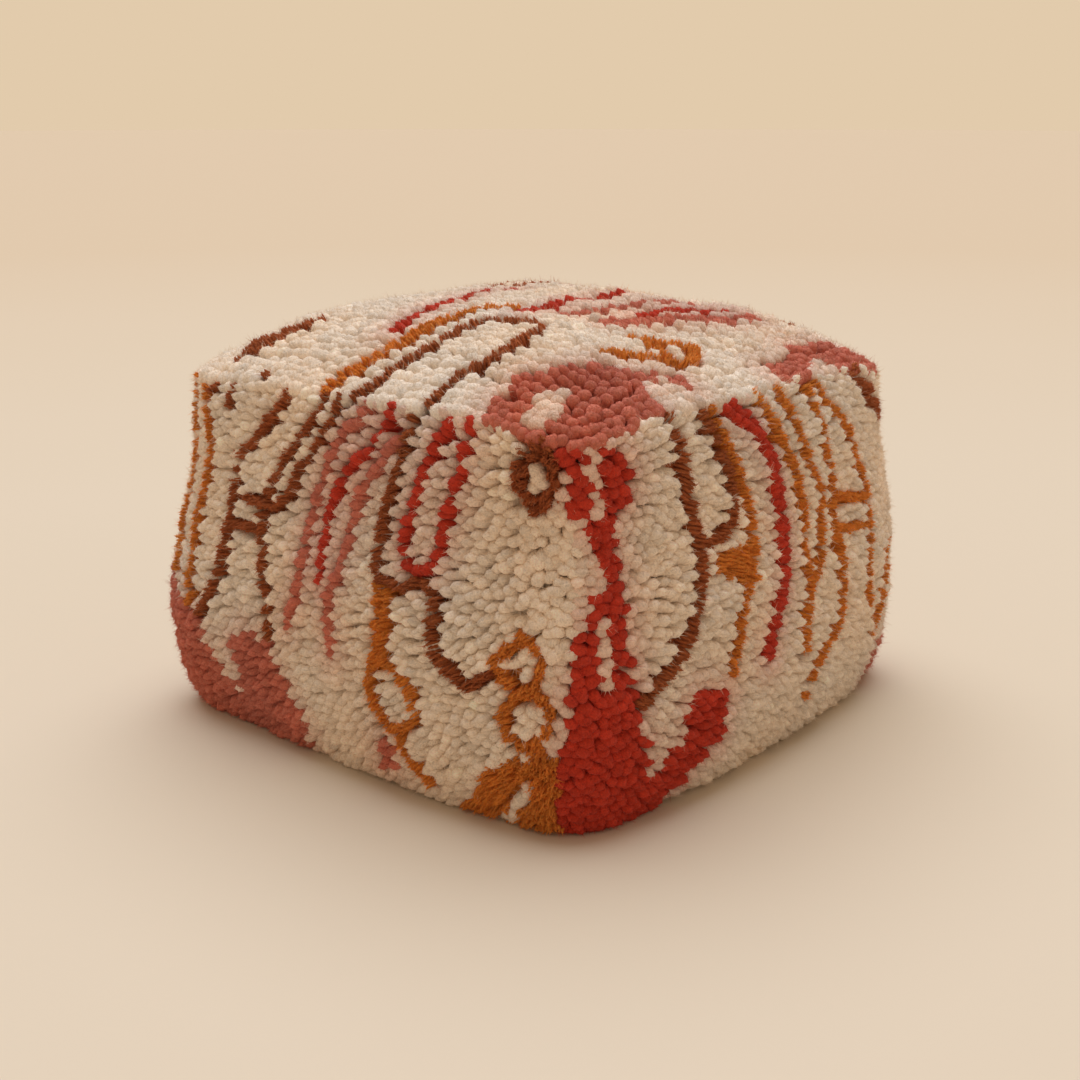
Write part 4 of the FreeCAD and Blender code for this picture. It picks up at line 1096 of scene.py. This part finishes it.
def brass_material():
    """Stamped zip brass, aged: warm and satin, duller in patches where it is handled."""
    material, tree, shader = new_material("aged_brass")
    tarnish, colour = mottled(tree, {"Scale": 1 / (6 * MM), "Detail": 4.0, "Roughness": 0.65},
                              "#8F6B36", "#C9A25C")
    rough = add(tree, MAP_RANGE, {"Value": tarnish, "To Min": 0.5, "To Max": 0.28})
    set_inputs(tree, shader, {"Base Color": colour, "Metallic": 1.0, "Roughness": rough})
    return material


def thread_material():
    """Waxed linen thread: slightly glossy, with its two plies showing as a fine twist."""
    material, tree, shader = new_material("waxed_linen_thread")
    colour = mottled(tree, {"Scale": 1 / (0.8 * MM), "Detail": 2.0}, "#A58C68", "#D8C6A2")[1]
    set_inputs(tree, shader, {"Base Color": colour, "Roughness": 0.6})
    return material


wool = wool_pile_material()
fibre = wool_fibre_material()
canvas = woven_material("cotton_canvas", "#CDBB9A", "#A8946F", 1.1 * MM, 0.9)
tape_cloth = woven_material("zip_tape_twill", "#B7A27C", "#8E7852", 0.7 * MM, 0.85)
calico = woven_material("calico", "#E2D8C2", "#C3B698", 0.8 * MM, 0.9)
brass = brass_material()
linen = thread_material()


def frame_slot(name):
    """The material slot that the record gives a node."""
    return next(part["material_slot"] for part in frame["record"]["subparts"] if part["node"] == name)


def map_weave(piece, places):
    """A map in metres for a woven cloth, from two lengths for each point."""
    layer = piece.data.uv_layers.new(name="weave")
    corners = np.empty(len(piece.data.loops), np.int32)
    piece.data.loops.foreach_get("vertex_index", corners)
    layer.data.foreach_set("uv", np.asarray(places, np.float32)[corners].ravel())


def finish_piece(piece, body, slot, *nodes):
    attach(piece, body)
    if nodes:
        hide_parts(*nodes)
    return piece


# Panels: yarn packed at the roots, pile and stray fibres
def packed_roots(panel, cloud):
    """The ground with the yarn packed on it: the nearest knot's colour, darkened as painted shade, and low at
    the seams.
    """
    grid = cover.grids[panel]
    rows, columns = (np.minimum(np.arange(count), np.arange(count)[::-1]) for count in grid.shape[:2])
    fill = ROOTS_FILL * eased(np.minimum.outer(rows, columns), 0, 2)
    points = (grid + fill[..., None] * outward[panel]).reshape(-1, 3)
    points[:, 2] = np.maximum(points[:, 2], 2 * MM)
    ground = smooth(new_object(f"{panel}_ground", points, quads(*grid.shape[:2])))
    near = kdtree.KDTree(len(cloud.data.vertices))
    for number, root in enumerate(cloud.data.vertices):
        near.insert(root.co, number)
    near.balance()
    yarn = np.empty(4 * len(cloud.data.vertices), np.float32)
    cloud.data.attributes["yarn"].data.foreach_get("color", yarn)
    yarn = yarn.reshape(-1, 4)[[near.find(point)[1] for point in grid.reshape(-1, 3)]]
    layer = ground.data.attributes.new("yarn", "FLOAT_COLOR", "POINT")
    # The roots' colour is darkened here as painted shade, where the pile over them shades them
    layer.data.foreach_set("color", (yarn * [*[ROOTS_PAINTED_SHADE] * 3, 1]).astype(np.float32).ravel())
    return ground


pile_tree, fibre_tree = cut_pile_tree(), stray_fibre_tree()
for seed, panel in enumerate(cover.grids, 1):
    # The top has the most knots, so its strands have fewer sides and its fibres are fewer
    plump_sides, fibres = (7, 230000.0) if panel == "top" else (8, 320000.0)
    cloud, cell_size = pile_points(panel, seed)
    ground = packed_roots(panel, cloud)
    ground.data.materials.append(fibre)
    finish_piece(ground, "pouf", "wool_shag", f"{panel}_panel")

    pile = grown(f"{panel}_pile", cloud, pile_tree, {
        "Plump sides": plump_sides, "Fine sides": 3, "Lump size": 5 * MM, "Lump height": 1.8 * MM,
        "Cell": cell_size, "Wool": wool})
    bpy.data.objects.remove(cloud)
    strays = grown(f"{panel}_stray_fibres", pile, fibre_tree, {
        "Fibres per square metre": fibres, "Fibre length": 5 * MM, "Fibre width": 0.45 * MM,
        "Columns": 450.0, "Seed": seed, "Wool": fibre})
    for piece in (pile, strays):
        finish_piece(piece, "pouf", "wool_shag")

# Inner bag: a calico cushion just inside the cover, with a fold over the zip
BAG_INSET, BAG_FLOOR, FOLD_HEIGHT, FOLD_TOP = 3.2 * MM, 4.8 * MM, 13 * MM, 17.8 * MM
bag_points = cover.points - BAG_INSET * cover.normals(1)
loop = cover.hem_loop()
hem_points = bag_points[loop]
base_rings = []
for share in np.linspace(1, 0, 30)[1:-1]:
    ring_points = hem_points * [share, share, 1]
    fold = eased(np.abs(ring_points[:, 1]), 34 * MM, 27 * MM) * eased(share, 0.97, 0.92)
    ring_points[:, 2] = BAG_FLOOR + FOLD_HEIGHT * fold
    base_rings.append(ring_points)
middle = [[0, 0, FOLD_TOP]]
first = len(bag_points)
around = len(loop)
starts = [first + ring * around for ring in range(len(base_rings))]
rings = [loop] + [range(start, start + around) for start in starts]
base_faces = [(outer[step], inside[step], inside[(step + 1) % around], outer[(step + 1) % around])
              for outer, inside in zip(rings[:-1], rings[1:]) for step in range(around)]
pole = first + around * len(base_rings)
base_faces += [(rings[-1][step], pole, rings[-1][(step + 1) % around]) for step in range(around)]
cushion = smooth(new_object("liner_cushion", np.concatenate([bag_points, *base_rings, middle]),
                            list(cover.faces) + base_faces))
places = [vertex.co for vertex in cushion.data.vertices]
map_weave(cushion, [(place.x + place.z, place.y + place.z) for place in places])
cushion.data.materials.append(calico)
finish_piece(cushion, "pouf", "calico", "liner_top", "liner_wall", "liner_base", "filling")


def cloth_strip(name, points, thickness, cloth):
    """A flat cloth from a grid of points, with its thickness and a map in metres."""
    rows, columns = points.shape[:2]
    piece = smooth(new_object(name, points.reshape(-1, 3), quads(rows, columns)))
    down = way_along(points[:, columns // 2])
    map_weave(piece, np.column_stack([points[..., 0].ravel(), np.repeat(down, columns)]))
    piece.data.materials.append(cloth)
    solid = piece.modifiers.new("thickness", "SOLIDIFY")
    solid.thickness = thickness
    solid.offset = 0
    return piece


def pucker(points, depth, size):
    """Small unevenness of sewn cloth."""
    flat = points.reshape(-1, 3)
    rise = np.array([noise.noise(Vector(point) / size) for point in flat]) * depth
    return (flat + rise[:, None] * [0, 0, 1]).reshape(points.shape)


# Base: two canvas halves whose inner edges turn up, the facings beside the zip, its tapes and stitching
BASE_INSET, CANVAS_EDGE, CANVAS_HEIGHT = 22.5 * MM, 26 * MM, 1.1 * MM
FACING_OUT, FACING_HEIGHT, TAPE_HEIGHT = 21.4 * MM, 10 * MM, 11.4 * MM
TAPE_HALF, TAPE_OUT, TAPE_IN = 0.21, 17.8 * MM, 2.4 * MM
ROW_HALF, ROW_ASIDE, ROW_HEIGHT = 0.2, 11.2 * MM, 9.1 * MM
CANVAS_THICK, FACING_THICK, TAPE_THICK = 1.2 * MM, 1.4 * MM, 0.7 * MM
PUCKER_DEPTH, PUCKER_SIZE = 0.5 * MM, 30 * MM
# The canvas edge beside the zip: distance from the middle and height in millimetres
TURNED_UP = [(22.9, 10.6), (22.8, 7.0), (22.8, 3.6), (23.2, 2.0), (24.4, 1.3)]
out, sideways = half_edge("right", BASE_SHARE, BASE_INSET)[:2]
deep, across = half_edge("front", BASE_SHARE, BASE_INSET)[:2]
edge_y, edge_x = np.append(sideways, deep[::-1]), np.append(out, across[::-1])
base_rows = [(y * MM, z * MM) for y, z in TURNED_UP]
for share in np.linspace(0, 1, 26):
    base_rows.append((CANVAS_EDGE + (edge_y[-1] - CANVAS_EDGE) * (1 - (1 - share) ** 2), CANVAS_HEIGHT))
# The facings close up past both ends of the zip: their half length, where they step in, and both edges there
FACING_HALF, ZIP_ENDS, ZIP_END = 0.232, [-0.2026, -0.2018, 0.2018, 0.2026], 0.2022
BESIDE_ZIP, PAST_ZIP = 7.3 * MM, 0.2 * MM
zip_columns = np.sort(np.append(np.linspace(-FACING_HALF, FACING_HALF, 117), ZIP_ENDS))
inner_edge = np.where(np.abs(zip_columns) < ZIP_END, BESIDE_ZIP, PAST_ZIP)
thread_rows = stitch_tree()
for place, sign in (("front", -1), ("rear", 1)):
    spread = np.linspace(-1, 1, 61)[::-sign]
    rows = [np.column_stack([spread * np.interp(y, edge_y, edge_x), np.full(61, sign * y), np.full(61, z)])
            for y, z in base_rows]
    puckered = pucker(np.array(rows), PUCKER_DEPTH, PUCKER_SIZE)
    base = cloth_strip(f"base_canvas_{place}", puckered, CANVAS_THICK, canvas)
    finish_piece(base, "pouf", "cotton_canvas", f"base_panel_{place}")

    steps = np.linspace(0, 1, 7)[:, None]
    y = sign * (FACING_OUT + (inner_edge - FACING_OUT) * steps)
    strip = np.stack([np.broadcast_to(zip_columns, y.shape), y, np.full(y.shape, FACING_HEIGHT)], axis=2)
    facing = cloth_strip(f"zip_facing_cloth_{place}", strip[:, ::-sign], FACING_THICK, canvas)
    finish_piece(facing, "pouf", "cotton_canvas", f"zip_facing_{place}")

    x = np.linspace(-TAPE_HALF, TAPE_HALF, 106)[::-sign]
    x, y = np.meshgrid(x, sign * np.linspace(TAPE_OUT, TAPE_IN, 6))
    strip = np.stack([x, y, np.full(x.shape, TAPE_HEIGHT)], axis=2)
    tape = cloth_strip(f"zip_tape_cloth_{place}", strip, TAPE_THICK, tape_cloth)
    finish_piece(tape, "pouf", "zip_tape", f"zip_tape_{place}")

    line = new_object("row", [(x, sign * ROW_ASIDE, ROW_HEIGHT) for x in (-ROW_HALF, ROW_HALF)], edges=[(0, 1)])
    row = grown(f"zip_stitches_{place}", line, thread_rows, {
        "Pitch": 4 * MM, "Stitch length": 3.2 * MM, "Thread radius": 0.28 * MM, "Slant": 0.06,
        "Thread": linen})
    bpy.data.objects.remove(line)
    finish_piece(row, "pouf", "waxed_thread", f"zip_stitching_{place}")

# Seams: whip stitches in waxed thread, deep in the pile
side_grids = [cover.grids[side] for side in SIDES]
seams = {
    "top_seam": np.concatenate([grid[-1, :-1] for grid in side_grids]),
    "base_seam": np.concatenate([grid[0, :-1] for grid in side_grids]),
    "front_left_seam": cover.grids["front"][:, 0],
    "front_right_seam": cover.grids["right"][:, 0],
    "rear_right_seam": cover.grids["back"][:, 0],
    "rear_left_seam": cover.grids["left"][:, 0],
}
for name, points in seams.items():
    steps = [(step, step + 1) for step in range(len(points) - 1)]
    if name in ("top_seam", "base_seam"):
        steps.append((len(points) - 1, 0))
    line = new_object("row", points, edges=steps)
    stitches = grown(f"{name}_stitches", line, thread_rows, {
        "Pitch": 9 * MM, "Stitch length": 11 * MM, "Thread radius": 1.25 * MM, "Slant": 0.5, "Thread": linen})
    bpy.data.objects.remove(line)
    finish_piece(stitches, "pouf", "waxed_thread", f"{name}_thread")

for name, node in frame["nodes"].items():
    if name.startswith("zip_") and frame_slot(name) == "zip_brass":
        node.data.materials.clear()
        node.data.materials.append(brass)

# Studio: a pale floor under an even sky, a broad soft lamp above, and the camera at the photograph's place
FLOOR_RADIUS, FLOOR_SIDES = 30, 64
turns = np.linspace(0, math.tau, FLOOR_SIDES + 1)[:-1]
rim = [(FLOOR_RADIUS * math.cos(turn), FLOOR_RADIUS * math.sin(turn), 0) for turn in turns]
floor = new_object("studio_floor", rim, [tuple(range(FLOOR_SIDES))])
paper, tree, shader = new_material("backdrop_paper")
near = mottled(tree, {"Scale": 1.1, "Detail": 2.0}, "#DBCCB6", "#DDCEBA")[1]
# Painted falloff of the light: the paper turns darker and warmer from 1 m to 5 m out, towards the horizon
away = add(tree, VECTOR_MATH, {0: add(tree, COORDINATES).outputs["Object"]}, operation="LENGTH")
far = add(tree, MAP_RANGE, {"Value": away.outputs["Value"], "From Min": 1.0, "From Max": 5.0})
tint = add(tree, MIX, {"Factor": far, "A": near, "B": rgba("#D8C4AA")}, data_type="RGBA")
set_inputs(tree, shader, {"Base Color": tint.outputs["Result"], "Roughness": 0.95, "Specular IOR Level": 0.1})
floor.data.materials.append(paper)

world = bpy.data.worlds.new("studio_light")
bpy.context.scene.world = world
world.use_nodes = True
tree = world.node_tree
tree.nodes.clear()
path = add(tree, "ShaderNodeLightPath")
seen = path.outputs["Is Camera Ray"]
for ray in ("Is Glossy Ray", "Is Transmission Ray"):
    seen = add(tree, MATH, {0: seen, 1: path.outputs[ray]}, operation="MAXIMUM")
soft_light = add(tree, "ShaderNodeBackground", {"Color": rgba("#FFE7CB"), "Strength": 0.49})
backdrop = add(tree, "ShaderNodeBackground", {"Color": rgba("#E2CBAC"), "Strength": 1.0})
add(tree, "ShaderNodeOutputWorld", {"Surface": add(tree, "ShaderNodeMixShader", {
    0: seen, 1: soft_light, 2: backdrop})})

lamp = bpy.data.lights.new("overhead_softbox", "SUN")
lamp.angle = math.radians(60)
lamp.energy = 0.79 * math.pi
lamp.color = linear("#E9F3FF")
softbox = bpy.data.objects.new("overhead_softbox", lamp)
softbox.rotation_euler = Vector((0.24, -0.25, -1.0)).to_track_quat("-Z", "Y").to_euler()
bpy.context.collection.objects.link(softbox)

AZIMUTH, ELEVATION, DISTANCE = math.radians(39.314), math.radians(21.841), 1.617
HEADING, TILT = AZIMUTH + math.radians(0.189), math.radians(16.417)
lens = bpy.data.cameras.new("photograph_camera")
lens.lens, lens.sensor_width = 50, 36
camera = bpy.data.objects.new("photograph_camera", lens)
camera.location = DISTANCE * Vector((math.sin(AZIMUTH) * math.cos(ELEVATION),
                                     -math.cos(AZIMUTH) * math.cos(ELEVATION), math.sin(ELEVATION)))
back = Vector((math.sin(HEADING) * math.cos(TILT), -math.cos(HEADING) * math.cos(TILT), math.sin(TILT)))
camera.rotation_euler = (-back).to_track_quat("-Z", "Y").to_euler()
bpy.context.collection.objects.link(camera)
bpy.context.scene.camera = camera
bpy.context.scene.view_settings.view_transform = "Standard"
